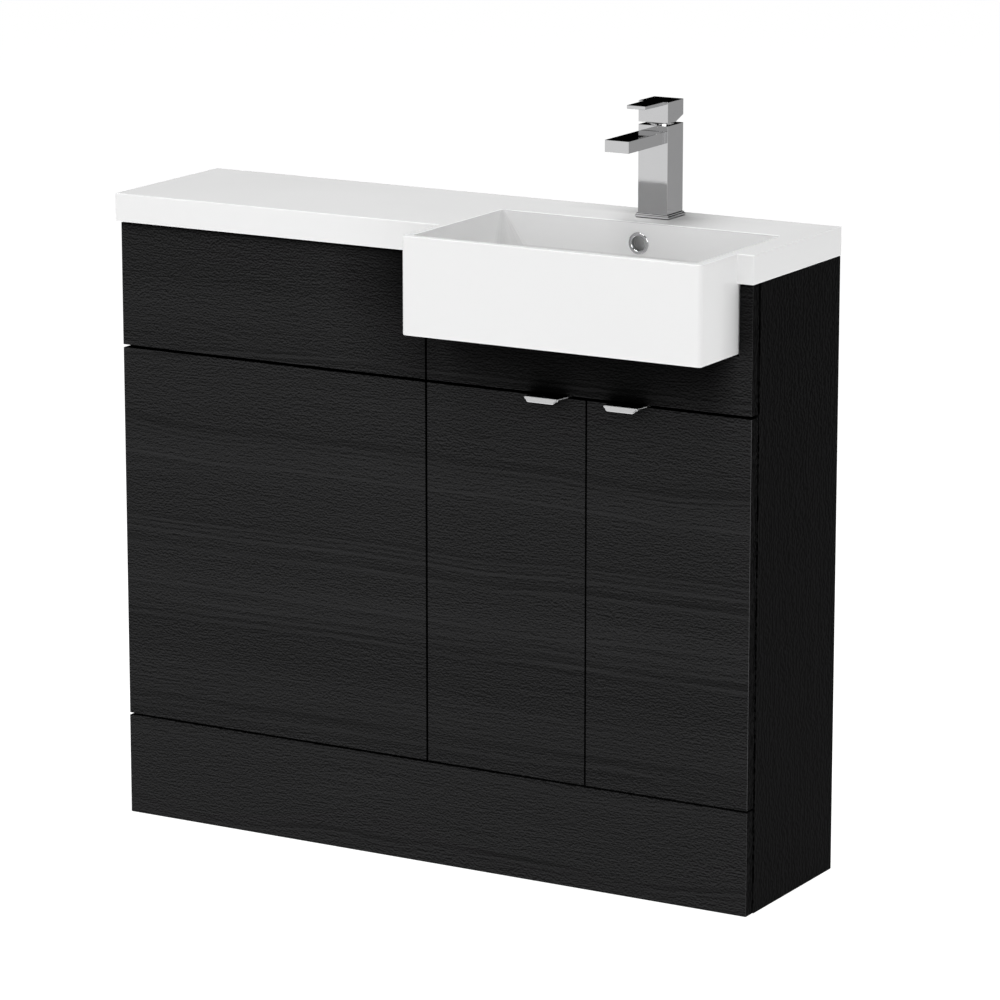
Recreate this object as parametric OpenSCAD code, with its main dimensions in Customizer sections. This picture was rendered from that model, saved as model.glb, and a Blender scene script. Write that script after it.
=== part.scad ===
// Slim vanity unit with a semi-recessed basin, joined to a fascia unit for a concealed cistern.
// The back face stands on the wall plane, the boards stand on the floor at z = 0, and the front faces -Y.
// The origin is on the floor, under the middle of the whole object's box.

/* [Cabinets] */
// Width of each of the two cabinets
unit_w = 500; // [480:5:560]
// Height of the cabinets, from the floor to the underside of the worktop
carcass_h = 864; // [850:1:900]
// Depth from the wall to the faces of the doors
unit_d = 255; // [250:1:290]
// Thickness of the cabinet boards
board_t = 18; // [16:1:19]
// Gap between the backs of the fronts and the edges of the boards
front_gap = 1.5; // [1.4:0.1:2]
// Height of the rails that join the cabinet sides
rail_h = 80; // [70:1:90]
// Height of the base board's top above the doors' lower edges
base_t = 18; // [16:1:22]
// Thickness of the back panel
back_t = 8; // [6:1:12]
// Space for pipes between the back panel and the wall
service_gap = 12; // [10:1:20]
// Height of the back panel
back_h = 460; // [400:5:480]
// Width and height of the pipe opening in the back panel
pipe_opening_w = 220; // [120:5:300]
pipe_opening_h = 140; // [80:5:200]
// Thickness of the shelf
shelf_t = 18; // [16:1:22]
// Height of the shelf's underside above the floor
shelf_z = 396; // [340:5:440]
// Clearance at each end of the shelf
shelf_clear = 0.3; // [0.2:0.1:0.8]

/* [Fronts] */
// Thickness of the doors, fascias and plinth
front_t = 18; // [18:0.5:19]
// Distance of the outer fronts from the outer faces of the cabinets
edge_inset = 1.5; // [1:0.1:2]
// Gap where the two cabinets' fronts meet
divide_gap = 3; // [3:0.1:4]
// Gap between the two doors
door_gap = 2.5; // [2.5:0.1:4]
// Height of the plinth panel
plinth_h = 145; // [140:1:160]
// Gap above the plinth panel
plinth_gap = 3; // [2.5:0.1:4]
// Gap between the doors and the upper fascia
upper_gap = 4; // [3.6:0.1:5]
// Height of the upper fascias
fascia_h = 175; // [165:1:190]
// Gap between the upper fascias and the worktop
top_gap = 1.5; // [1:0.1:2]
// Clearance round the basin where it passes through the fascia
notch_clear = 2; // [1:0.1:3]

/* [Door hinges] */
// Distance of the hinge cup's rim from the door's edge
cup_edge = 3; // [3:0.1:3.5]
// Diameter of the hinge cup
cup_d = 35; // [34.6:0.1:35.4]
// Depth of the hinge cup in the door
cup_depth = 12.5; // [12.3:0.1:13]
// Distance of the hinge centres from the ends of the door
hinge_end = 90; // [80:1:110]
// Diameter of the hinge pins
hinge_pin_d = 2.5; // [2.3:0.1:2.6]
// Width of the hinge link
link_w = 5; // [4.5:0.1:5.2]
// Diameter of the door buffers
buffer_d = 8; // [6:0.5:9]

/* [Door handles] */
// Distance from the doors' meeting line to the middle of the left door's handle
left_handle_in = 58; // [54:0.5:120]
// Distance from the doors' meeting line to the middle of the right door's handle
right_handle_in = 63.5; // [54:0.5:120]
// Reach of the handle's fold in front of the door
handle_reach = 20.5; // [18:0.5:25]
// Width of the handle at the door, at its lip and at the bottom of the lip
handle_root_w = 57; // [56:1:64]
handle_lip_w = 50.5; // [46:0.5:54]
handle_tip_w = 39.5; // [34:0.5:42]
// Height of the lip below the top of the handle
lip_h = 7.0; // [6.5:0.1:12]
// Lean of the lip, with its lower edge forwards
lip_lean = 28; // [0:1:35]
// Thickness of the handle's sheet metal
handle_t = 2; // [1.8:0.1:2.2]
// Height of the handle's leaf behind the door
leaf_h = 14; // [13:0.5:18]

/* [Worktop and basin] */
// Thickness of the worktop's edge
top_t = 40; // [34:1:50]
// Thickness of the worktop's upper slab
slab_t = 15; // [13:1:18]
// Thickness of the worktop's skirt
skirt_t = 12; // [10:1:16]
// Overhang of the worktop at its left, right and front
over_left = 5; // [3:0.5:8]
over_right = 1.5; // [1:0.5:4]
over_front = 5; // [4:0.5:8]
// Distance of the basin's sides from the left and right ends of the vanity cabinet
basin_in_left = 25; // [24:0.5:32]
basin_in_right = 23; // [22:0.5:30]
// Height of the basin's front
basin_h = 135; // [130:1:140]
// Reach of the basin in front of the doors
basin_reach = 105; // [95:1:120]
// Radius of the basin's upright front corners
basin_corner_r = 5.5; // [3:0.5:9]
// Thickness of the basin's rim at its left, right and front
rim_left = 10; // [9:0.5:16]
rim_right = 14; // [10:0.5:18]
rim_front = 12; // [10:0.5:20]
// Length of the bowl from front to back at its rim
bowl_l = 240; // [232:1:244]
// Depth of the bowl
bowl_depth = 119; // [112:1:121]
// Thickness of the bowl's back wall
bowl_back_t = 12; // [10:0.5:14]
// Width of the overflow channel
channel_w = 30; // [28:1:36]
// Depth of the overflow channel
channel_d = 12; // [10:0.5:14]

/* [Waste and overflow] */
// Diameter of the overflow ring
overflow_d = 30; // [29:0.5:34]
// Diameter of the opening in the overflow ring
overflow_bore_d = 20.5; // [18:0.5:21]
// Depth of the overflow ring's centre below the rim
overflow_z = 29; // [26:0.5:34]
// Distance of the waste from the bowl's back edge
waste_back = 72; // [66:1:80]
// Diameter of the threaded waste tail
waste_d = 41.9; // [41.4:0.1:42.2]
// Diameter of the waste flange
waste_flange_d = 64; // [62:0.5:66]
// Length of the waste tail below the basin
waste_tail = 62; // [56:1:70]
// Diameter of the waste plug
plug_d = 60; // [54:1:62]
// Lift of the waste plug
plug_lift = 8; // [6:0.5:10]

/* [Tap] */
// Distance of the tap from the middle of the vanity cabinet
tap_shift = 0; // [-8:0.5:8]
// Distance from the wall to the middle of the tap
tap_back = 49; // [49:0.5:51]
// Width of the square column
column_w = 45; // [42:0.5:48]
// Width and depth of the tap's base
tap_base_w = 52; // [50:0.5:58]
tap_base_d = 50; // [49:0.5:56]
// Height of the tap's base
tap_base_h = 6; // [5:0.5:8]
// Height of the top of the column above the worktop
column_h = 127.8; // [115:0.1:140]
// Width and height of the spout
spout_w = 36.4; // [32:0.2:40]
spout_h = 16.3; // [15:0.1:20]
// Distance from the top of the spout to the top of the column
spout_drop = 7.8; // [5:0.1:12]
// Reach of the spout from the middle of the tap
spout_reach = 125; // [100:1:140]
// Gap between the column and the lever head
head_gap = 3.7; // [3.5:0.1:5]
// Height of the lever head
head_h = 28.8; // [26:0.1:32]
// Thickness, width at the tip and reach of the lever
lever_t = 4.8; // [4:0.1:6]
lever_w = 28; // [24:0.5:30]
lever_reach = 71.5; // [60:0.5:80]
// Diameter of the tap's threaded shank
shank_d = 32; // [30:0.2:33]
// Diameter of the tap hole in the worktop
tap_hole_d = 35; // [34:0.2:36]
// Length of the shank below the tap's base
shank_l = 64; // [58:1:72]
// Diameter of the inlet sockets in the shank
inlet_d = 9.2; // [8.6:0.1:9.6]

/* [Hidden] */
$fn = 64;
// Radial clearance of pegs, studs and screws in their holes
fit_clear = 0.04;
// Radial clearance of parts that turn or slide on one another
run_clear = 0.05;
// Overlap that makes a cut pass through a face
cut = 1;

// Places along X
x_div = (over_left - over_right) / 2;
x_left = x_div - unit_w;
x_right = x_div + unit_w;
x_door_mid = x_div + unit_w / 2;

// Places along Y
y_wall = (unit_d + basin_reach) / 2;
y_face = y_wall - unit_d;
y_leaf = y_face + front_t;
y_board = y_leaf + front_gap;

// Places along Z
z_door0 = plinth_h + plinth_gap;
z_fascia1 = carcass_h - top_gap;
z_fascia0 = z_fascia1 - fascia_h;
z_door1 = z_fascia0 - upper_gap;
z_rim = carcass_h + top_t;
z_slab = z_rim - slab_t;
z_basin = z_rim - basin_h;
z_base = z_door0 + base_t;
door_l = z_door1 - z_door0;

// Pegs, studs and screws
dowel_d = 8;
dowel_l = 30;
stud_d = 8;
stud_l = 10;
clip_d = 14;
screw_d = 3.6;
screw_head_d = 7;
screw_head_h = 2;
connector_d = 8;
connector_head_d = 14;
connector_head_h = 2.5;
connector_bolt_d = 5;
wall_hole_d = 6;

// Rails
rail_z_back = carcass_h - rail_h;
rail_z_mid = (z_door1 + z_fascia0) / 2 - rail_h / 2;
rail_z_low = (plinth_h + z_door0) / 2 - rail_h / 2;
top_rail_h = 60;
front_rail_z1 = z_basin - 3;
front_rail_z0 = z_door1 - 34;
wall_hole_in = 90;

// Basin, in places
bx0 = x_div + basin_in_left;
bx1 = x_right - basin_in_right;
basin_w = bx1 - bx0;
by0 = y_face - basin_reach;
bowl_x0 = bx0 + rim_left;
bowl_x1 = bx1 - rim_right;
bowl_cx = (bowl_x0 + bowl_x1) / 2;
bowl_y0 = by0 + rim_front;
bowl_y1 = bowl_y0 + bowl_l;
by1 = bowl_y1 + bowl_back_t;
bowl_floor = z_rim - bowl_depth;
waste_x = bowl_cx;
waste_y = bowl_y1 - waste_back;
channel_y0 = by1 - 6;
channel_wall = 8;
boss_w = channel_w + 2 * channel_wall;
flange_t = 3;
flange_seal_t = 1;
flange_step = flange_t + flange_seal_t;
waste_hole_d = waste_d + 4;
nut_h = 10;
cone_h = 5;
waste_bore_d = 36;
waste_z0 = z_basin - waste_tail;
guide_d = 8;
z_groove = z_basin - cone_h - nut_h - 1;
plug_t = 4;
plug_seat = 0.3;

// Tap, in places
tx = x_door_mid + tap_shift;
ty = y_wall - tap_back;
tap_seal_t = 1;
z_tap = z_rim + tap_base_h;
z_column = z_rim + column_h;
z_spout1 = z_column - spout_drop;
z_spout0 = z_spout1 - spout_h;
y_spout = ty - spout_reach;
z_head0 = z_column + head_gap;
z_head1 = z_head0 + head_h;
cartridge_d = 35;
cartridge_h = 46;
collar_d = 39;
collar_h = 11.5;
collar_rise = 1.7;
stem_d = 12;
lever_pin_d = 4;
lever_pin_z = z_head0 + 4.5;
head_cavity_w = 16;
shank_z0 = z_tap - tap_base_h - shank_l;

// Hinge pivots of the left door: the arm's pin, and the cup's pin
cup_x = edge_inset_x() + cup_edge + cup_d / 2;
hinge_z = [z_door0 + hinge_end, z_door1 - hinge_end];
arm_pin = [cup_x + 12, y_leaf - 2];
cup_pin = [cup_x - 13, y_leaf - 4];
// The link's middle line from the cup's pin to the arm's pin
link_path = [cup_pin, cup_pin + [2, -5.5], cup_pin + [11, -5.5], arm_pin + [-4, -4], arm_pin];
link_r = [2.05, 1.5, 1.5, 1.8, 2.5];
arm_x0 = x_div + board_t + 3;
arm_x1 = arm_pin[0] + 2.7;
arm_y0 = y_board + 3;
arm_l = 56;
ear_z0 = link_w / 2 + 0.3;
ear_z1 = ear_z0 + 2.7;
plate_t = 3;
cup_flange_t = 1;
leaf_recess = 1;

// Colours
wood = [0.14, 0.14, 0.145];
gloss_white = [0.93, 0.93, 0.93];
chrome = [0.78, 0.78, 0.8];
steel = [0.62, 0.62, 0.64];
dark_plastic = [0.2, 0.2, 0.2];
rubber = [0.1, 0.1, 0.1];
beech = [0.8, 0.65, 0.45];
brass = [0.8, 0.65, 0.3];

// The left door's hinge-side edge
function edge_inset_x() = x_div + divide_gap / 2;

// A box between two corners
module block(a, b) {
  translate(a) cube(b - a);
}

// Round bars along each axis, from one place to another
module rod_x(d, x0, x1, y, z) {
  translate([x0, y, z]) rotate([0, 90, 0]) cylinder(d = d, h = x1 - x0);
}

module rod_y(d, y0, y1, x, z) {
  translate([x, y1, z]) rotate([90, 0, 0]) cylinder(d = d, h = y1 - y0);
}

module rod_z(d, z0, z1, x, y) {
  translate([x, y, z0]) cylinder(d = d, h = z1 - z0);
}

// The two doors are mirror images about the middle of the vanity cabinet
module right_hand() {
  translate([2 * x_door_mid, 0, 0]) mirror([1, 0, 0]) children();
}

// Places of the clips between the boards and the fronts, as [x, z]
clip_in = 60;
clip_side = board_t / 2 + 0.5;
wc_clips = [
  for (x = [x_left + clip_in + board_t, x_div - clip_in - board_t])
    for (z = [rail_z_low + rail_h - 22, rail_z_mid + 22, rail_z_mid + rail_h - 22, carcass_h - 30])
      [x, z]];
vanity_clips = [
  for (x = [x_div + unit_w / 4, x_div + unit_w * 3 / 4]) [x, (z_fascia0 + front_rail_z1) / 2]];
ear_clips = [for (x = [x_div + clip_side, x_right - clip_side]) [x, carcass_h - 30]];
plinth_clips = [
  for (x = [x_left + clip_side, x_div - clip_side, x_div + clip_side, x_right - clip_side])
    [x, plinth_h / 2]];
all_clips = concat(wc_clips, vanity_clips, ear_clips, plinth_clips);

// Blind holes for the clips' studs, in the fronts or in the boards behind them
module clip_holes_front() {
  for (p = all_clips) rod_y(stud_d + 2 * fit_clear, y_leaf - stud_l, y_leaf + cut, p[0], p[1]);
}

module clip_holes_board() {
  for (p = all_clips) rod_y(stud_d + 2 * fit_clear, y_board - cut, y_board + stud_l, p[0], p[1]);
}

// Dowels at both ends of a rail: places as [y, z] for a rail between two sides
back_rail_y = y_wall - board_t / 2;
front_rail_y = y_board + board_t / 2;
wc_dowel_yz = [
  [back_rail_y, rail_z_back + rail_h / 2], [front_rail_y, carcass_h - top_rail_h / 2 - 10],
  [front_rail_y, rail_z_mid + rail_h / 2], [front_rail_y, rail_z_low + rail_h / 2]];
base_y1 = y_wall - service_gap;
vanity_dowel_yz = [
  [back_rail_y, rail_z_back + rail_h / 2],
  [front_rail_y, (front_rail_z0 + front_rail_z1) / 2],
  [y_board + 40, z_door0 + base_t / 2], [base_y1 - 40, z_door0 + base_t / 2]];

module dowels(x0, x1, places, clear) {
  for (p = places) {
    for (x = [x0 + board_t, x1 - board_t])
      rod_x(dowel_d + 2 * clear, x - dowel_l / 2 + 3 * side_sign(x, x0, x1) - clear,
        x + dowel_l / 2 + 3 * side_sign(x, x0, x1) + clear, p[0], p[1]);
  }
}

// +1 at the left end of a rail, -1 at its right end
function side_sign(x, x0, x1) = x < (x0 + x1) / 2 ? 1 : -1;

// Bolts that join the two cabinets, as [y, z]
connector_above_base = 60;
connector_below_top = 160;
connector_from_front = 70;
connector_from_wall = 60;
connector_yz = [
  for (z = [z_base + connector_above_base, carcass_h - connector_below_top])
    for (y = [y_board + connector_from_front, y_wall - connector_from_wall]) [y, z]];

module connector_holes() {
  for (p = connector_yz) {
    rod_x(connector_d + 2 * fit_clear, x_div - board_t - cut, x_div + board_t + cut, p[0], p[1]);
  }
}

// One cabinet side, standing on the floor
module side_board(x0) {
  block([x0, y_board, 0], [x0 + board_t, y_wall, carcass_h]);
}

module wc_side_left() {
  color(wood) difference() {
    side_board(x_left);
    clip_holes_board();
    dowels(x_left, x_div, wc_dowel_yz, fit_clear);
  }
}

module wc_side_right() {
  color(wood) difference() {
    side_board(x_div - board_t);
    clip_holes_board();
    dowels(x_left, x_div, wc_dowel_yz, fit_clear);
    connector_holes();
  }
}

// A rail between two sides, with its depth centred on y
module rail(x0, x1, y, z0, z1) {
  block([x0 + board_t, y - board_t / 2, z0], [x1 - board_t, y + board_t / 2, z1]);
}

module wall_holes(x0, x1) {
  for (x = [x0 + wall_hole_in, x1 - wall_hole_in])
    rod_y(wall_hole_d, y_wall - board_t - cut, y_wall + cut, x, rail_z_back + rail_h / 2);
}

module wc_back_rail() {
  color(wood) difference() {
    rail(x_left, x_div, back_rail_y, rail_z_back, carcass_h);
    wall_holes(x_left, x_div);
    dowels(x_left, x_div, wc_dowel_yz, fit_clear);
  }
}

module wc_front_rail(z0, z1) {
  color(wood) difference() {
    rail(x_left, x_div, front_rail_y, z0, z1);
    clip_holes_board();
    dowels(x_left, x_div, wc_dowel_yz, fit_clear);
  }
}

module wc_top_rail() {
  wc_front_rail(carcass_h - top_rail_h, carcass_h);
}

module wc_mid_rail() {
  wc_front_rail(rail_z_mid, rail_z_mid + rail_h);
}

module wc_base_rail() {
  wc_front_rail(rail_z_low, rail_z_low + rail_h);
}

// A front panel in the plane of the doors
module front_panel(x0, x1, z0, z1) {
  block([x0, y_face, z0], [x1, y_leaf, z1]);
}

module wc_upper_fascia() {
  color(wood) difference() {
    front_panel(x_left + edge_inset, x_div - divide_gap / 2, z_fascia0, z_fascia1);
    clip_holes_front();
  }
}

module wc_lower_fascia() {
  color(wood) difference() {
    front_panel(x_left + edge_inset, x_div - divide_gap / 2, z_door0, z_door1);
    clip_holes_front();
  }
}

module wc_dowels() {
  color(beech) dowels(x_left, x_div, wc_dowel_yz, 0);
}

// Holes in a vanity side for the shelf pins and for the screws of the hinge plates
module vanity_side_holes() {
  for (p = shelf_pin_places) {
    rod_x(pin_d + 2 * fit_clear, x_div + board_t - pin_in, x_div + board_t + cut, p, pin_z);
  }
  plate_screws(fit_clear, 0.5);
}

pin_d = 5;
pin_in = 8;
pin_z = shelf_z - pin_d / 2;
shelf_y0 = y_board + 5;
shelf_y1 = base_y1 - back_t - 5;
shelf_pin_places = [shelf_y0 + 30, shelf_y1 - 30];

module vanity_side_left() {
  color(wood) difference() {
    side_board(x_div);
    clip_holes_board();
    dowels(x_div, x_right, vanity_dowel_yz, fit_clear);
    connector_holes();
    vanity_side_holes();
  }
}

module vanity_side_right() {
  color(wood) difference() {
    side_board(x_right - board_t);
    clip_holes_board();
    dowels(x_div, x_right, vanity_dowel_yz, fit_clear);
    right_hand() vanity_side_holes();
  }
}

module base_panel() {
  color(wood) difference() {
    block([x_div + board_t, y_board, z_door0], [x_right - board_t, base_y1, z_base]);
    dowels(x_div, x_right, vanity_dowel_yz, fit_clear);
  }
}

// The back panel stands on the base panel, with an opening for the pipes
module back_panel() {
  color(wood) difference() {
    block([x_div + board_t, base_y1 - back_t, z_base], [x_right - board_t, base_y1, z_base + back_h]);
    block([x_door_mid - pipe_opening_w / 2, base_y1 - back_t - cut, z_base + back_h - pipe_opening_h],
      [x_door_mid + pipe_opening_w / 2, base_y1 + cut, z_base + back_h + cut]);
  }
}

module vanity_back_rail() {
  color(wood) difference() {
    rail(x_div, x_right, back_rail_y, rail_z_back, carcass_h);
    wall_holes(x_div, x_right);
    dowels(x_div, x_right, vanity_dowel_yz, fit_clear);
  }
}

module vanity_front_rail() {
  color(wood) difference() {
    rail(x_div, x_right, front_rail_y, front_rail_z0, front_rail_z1);
    clip_holes_board();
    dowels(x_div, x_right, vanity_dowel_yz, fit_clear);
  }
}

// The fascia under the basin, cut away where the basin passes through it
module vanity_upper_fascia() {
  color(wood) difference() {
    front_panel(x_div + divide_gap / 2, x_right - edge_inset, z_fascia0, z_fascia1);
    block([bx0 - notch_clear, y_face - cut, z_basin - notch_clear],
      [bx1 + notch_clear, y_leaf + cut, z_fascia1 + cut]);
    clip_holes_front();
  }
}

module shelf() {
  color(wood) block([x_div + board_t + shelf_clear, shelf_y0, shelf_z],
    [x_right - board_t - shelf_clear, shelf_y1, shelf_z + shelf_t]);
}

module shelf_pin_pair() {
  for (p = shelf_pin_places) {
    rod_x(pin_d, x_div + board_t - pin_in + 0.3, x_div + board_t + pin_in, p, pin_z);
    rod_x(pin_d + 4, x_div + board_t, x_div + board_t + 1.5, p, pin_z - 2.2);
  }
}

module shelf_pins() {
  color(steel) {
    shelf_pin_pair();
    right_hand() shelf_pin_pair();
  }
}

module vanity_dowels() {
  color(beech) dowels(x_div, x_right, vanity_dowel_yz, 0);
}

// Push-in clips: a disc between the board and the front, with a stud into each
module fascia_clips() {
  color(dark_plastic) for (p = all_clips) {
    rod_y(clip_d, y_leaf, y_board, p[0], p[1]);
    rod_y(stud_d, y_leaf - stud_l + 0.5, y_board + stud_l - 0.5, p[0], p[1]);
  }
}

module plinth_panel() {
  color(wood) difference() {
    front_panel(x_left + edge_inset, x_right - edge_inset, 0, plinth_h);
    clip_holes_front();
  }
}

// Sleeves with a head in the vanity cabinet, and bolts with a head in the other one
module cabinet_connectors() {
  color(steel) for (p = connector_yz) difference() {
    union() {
      rod_x(connector_head_d, x_div + board_t, x_div + board_t + connector_head_h, p[0], p[1]);
      rod_x(connector_d, x_div - board_t + 4, x_div + board_t + cut, p[0], p[1]);
    }
    rod_x(connector_bolt_d + 2 * fit_clear, x_div - board_t + 4 - cut, x_div + board_t - 4, p[0], p[1]);
  }
}

module connector_bolts() {
  color(steel) for (p = connector_yz) {
    rod_x(connector_head_d, x_div - board_t - connector_head_h, x_div - board_t, p[0], p[1]);
    rod_x(connector_bolt_d, x_div - board_t - cut, x_div + board_t - 5, p[0], p[1]);
  }
}

// The left door's outline along X
door_x0 = x_div + divide_gap / 2;
door_x1 = x_door_mid - door_gap / 2;
leaf_w = handle_root_w - 12;
leaf_screw_x = leaf_w / 2 - 10;
leaf_screw_z = z_door1 - leaf_h / 2 - 1;

// A door blank with its cup bores, and with the recess for the handle's leaf
module door(handle_x) {
  difference() {
    front_panel(door_x0, door_x1, z_door0, z_door1);
    for (z = hinge_z) {
      rod_y(cup_d + 4 * fit_clear, y_leaf - cup_depth - 0.2, y_leaf + cut, cup_x, z);
      cup_screws(z, fit_clear, 0.5);
    }
    block([handle_x - leaf_w / 2 - 0.2, y_leaf - leaf_recess, z_door1 - leaf_h - 0.2],
      [handle_x + leaf_w / 2 + 0.2, y_leaf + cut, z_door1 + cut]);
    for (s = [-1, 1]) rod_y(screw_d + 2 * fit_clear, y_leaf - leaf_recess - 10.5, y_leaf + cut,
      handle_x + s * leaf_screw_x, leaf_screw_z);
  }
}

module door_left() {
  color(wood) door(x_door_mid - left_handle_in);
}

module door_right() {
  color(wood) right_hand() door(x_door_mid - right_handle_in);
}

// The lip's outline in its own plane, with slanting ends and blunted lower corners. Its upper edge is at 0
lip_straight = 1.2;
lip_blunt = 1;
lip_length = lip_h / cos(lip_lean);

module lip_outline() {
  right_half = [[handle_lip_w / 2, 0], [handle_lip_w / 2, -lip_straight],
    [handle_tip_w / 2 + lip_blunt, -lip_length + lip_blunt], [handle_tip_w / 2 - lip_blunt, -lip_length]];
  polygon(concat(right_half, [for (i = [3:-1:0]) [-right_half[i][0], right_half[i][1]]]));
}

// A handle folded from one sheet: a leaf behind the door, a plate over its edge, and a lip
module handle(hx) {
  y_lip = y_face - handle_reach;
  y_leaf0 = y_leaf - leaf_recess;
  z1 = z_door1 + handle_t;
  difference() {
    union() {
      translate([hx, 0, z_door1]) linear_extrude(handle_t) polygon([
        [-handle_lip_w / 2, y_lip], [handle_lip_w / 2, y_lip],
        [handle_root_w / 2, y_face + 2], [handle_root_w / 2, y_leaf0 + handle_t - 4],
        [leaf_w / 2, y_leaf0 + handle_t], [-leaf_w / 2, y_leaf0 + handle_t],
        [-handle_root_w / 2, y_leaf0 + handle_t - 4], [-handle_root_w / 2, y_face + 2]]);
      translate([hx, y_lip, z1]) rotate([-lip_lean, 0, 0]) translate([0, handle_t, 0])
        rotate([90, 0, 0]) linear_extrude(handle_t) lip_outline();
      block([hx - leaf_w / 2, y_leaf0, z_door1 - leaf_h],
        [hx + leaf_w / 2, y_leaf0 + handle_t, z_door1 + handle_t / 2]);
    }
    for (s = [-1, 1]) rod_y(screw_d + 2 * fit_clear, y_leaf0 - cut, y_leaf0 + handle_t + cut,
      hx + s * leaf_screw_x, leaf_screw_z);
  }
}

module handle_left() {
  color(chrome) handle(x_door_mid - left_handle_in);
}

module handle_right() {
  color(chrome) right_hand() handle(x_door_mid - right_handle_in);
}

// Flat-headed screws through the handle's leaf into the door
module handle_screws(hx) {
  y0 = y_leaf - leaf_recess + handle_t;
  for (s = [-1, 1]) {
    rod_y(screw_d, y0 - handle_t - 10, y0 + 0.2, hx + s * leaf_screw_x, leaf_screw_z);
    rod_y(screw_head_d - 1, y0, y0 + 0.3, hx + s * leaf_screw_x, leaf_screw_z);
  }
}

module handle_screws_left() {
  color(steel) handle_screws(x_door_mid - left_handle_in);
}

module handle_screws_right() {
  color(steel) right_hand() handle_screws(x_door_mid - right_handle_in);
}

// Soft buffers on the back of a door, which meet the base panel and the front rail
module door_buffers() {
  t = front_gap - 0.3;
  for (z = [(z_door0 + z_base) / 2, z_door1 - 17])
    rod_y(buffer_d, y_leaf, y_leaf + t, door_x1 - 12, z);
}

module door_buffers_left() {
  color(rubber) door_buffers();
}

module door_buffers_right() {
  color(rubber) right_hand() door_buffers();
}

// Screws that hold a hinge plate to the cabinet's side
plate_y0 = y_board + 20;
plate_h = 48;
plate_w = 18;
plate_screw_z = 16;
plate_screw_l = 12;

module plate_screws(clear, extra) {
  for (z = hinge_z) for (s = [-1, 1])
    rod_x(screw_d + 2 * clear, x_div + board_t - plate_screw_l - extra,
      x_div + board_t + plate_t + clear, plate_y0 + plate_w / 2, z + s * plate_screw_z);
}

module hinge_plate_set() {
  difference() {
    for (z = hinge_z) {
      block([x_div + board_t, plate_y0, z - plate_h / 2],
        [x_div + board_t + plate_t, plate_y0 + plate_w, z + plate_h / 2]);
      block([x_div + board_t, plate_y0 - 8, z - 8], [x_div + board_t + plate_t, arm_y0 + arm_l - 4, z + 8]);
    }
    plate_screws(fit_clear, 0.5);
  }
}

module hinge_plates() {
  color(steel) {
    hinge_plate_set();
    right_hand() hinge_plate_set();
  }
}

module plate_screw_set() {
  plate_screws(0, 0);
  for (z = hinge_z) for (s = [-1, 1])
    rod_x(screw_head_d, x_div + board_t + plate_t, x_div + board_t + plate_t + screw_head_h,
      plate_y0 + plate_w / 2, z + s * plate_screw_z);
}

module hinge_plate_screws() {
  color(steel) {
    plate_screw_set();
    right_hand() plate_screw_set();
  }
}

// A hinge arm: a bar on the plate, with two ears that reach into the cup
module hinge_arm(z) {
  difference() {
    union() {
      block([arm_x0, arm_y0, z - ear_z1], [arm_x1, arm_y0 + arm_l, z + ear_z1]);
      block([arm_pin[0] - 2.7, arm_pin[1], z - ear_z1], [arm_x1, arm_y0 + 6, z + ear_z1]);
      rod_z(5.6, z - ear_z1, z + ear_z1, arm_pin[0], arm_pin[1]);
    }
    block([arm_pin[0] - 4, arm_pin[1] - 4, z - ear_z0], [arm_x1 + cut, arm_y0 + 2, z + ear_z0]);
    rod_z(hinge_pin_d + 2 * fit_clear, z - ear_z1 - cut, z + ear_z1 + cut, arm_pin[0], arm_pin[1]);
  }
}

module hinge_arms() {
  color(steel) {
    for (z = hinge_z) hinge_arm(z);
    right_hand() for (z = hinge_z) hinge_arm(z);
  }
}

module hinge_arm_pins() {
  color(steel) {
    for (z = hinge_z) rod_z(hinge_pin_d, z - ear_z1, z + ear_z1, arm_pin[0], arm_pin[1]);
    right_hand() for (z = hinge_z)
      rod_z(hinge_pin_d, z - ear_z1, z + ear_z1, arm_pin[0], arm_pin[1]);
  }
}

// A flat bar from a to b, w wide
module flat_bar(a, b, w) {
  d = b - a;
  translate(a) rotate([0, 0, atan2(d[1], d[0])]) translate([0, -w / 2]) square([norm(d), w]);
}

module hinge_link(z) {
  difference() {
    translate([0, 0, z - link_w / 2]) linear_extrude(link_w) {
      for (i = [0 : len(link_path) - 1]) translate(link_path[i]) circle(r = link_r[i]);
      for (i = [0 : len(link_path) - 2])
        flat_bar(link_path[i], link_path[i + 1], 2 * min(link_r[i], link_r[i + 1]) - 0.2);
    }
    for (p = [cup_pin, arm_pin])
      rod_z(hinge_pin_d + 2 * run_clear, z - link_w / 2 - cut, z + link_w / 2 + cut, p[0], p[1]);
  }
}

module hinge_links_left() {
  color(steel) for (z = hinge_z) hinge_link(z);
}

module hinge_links_right() {
  color(steel) right_hand() for (z = hinge_z) hinge_link(z);
}

// Screws through the wings of a hinge cup
wing_z = 22.5;
wing_x = 5;

module cup_screws(z, clear, extra) {
  for (s = [-1, 1])
    rod_y(screw_d + 2 * clear, y_leaf - 11 - extra, y_leaf + cup_flange_t / 2,
      cup_x + wing_x, z + s * wing_z);
}

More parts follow.
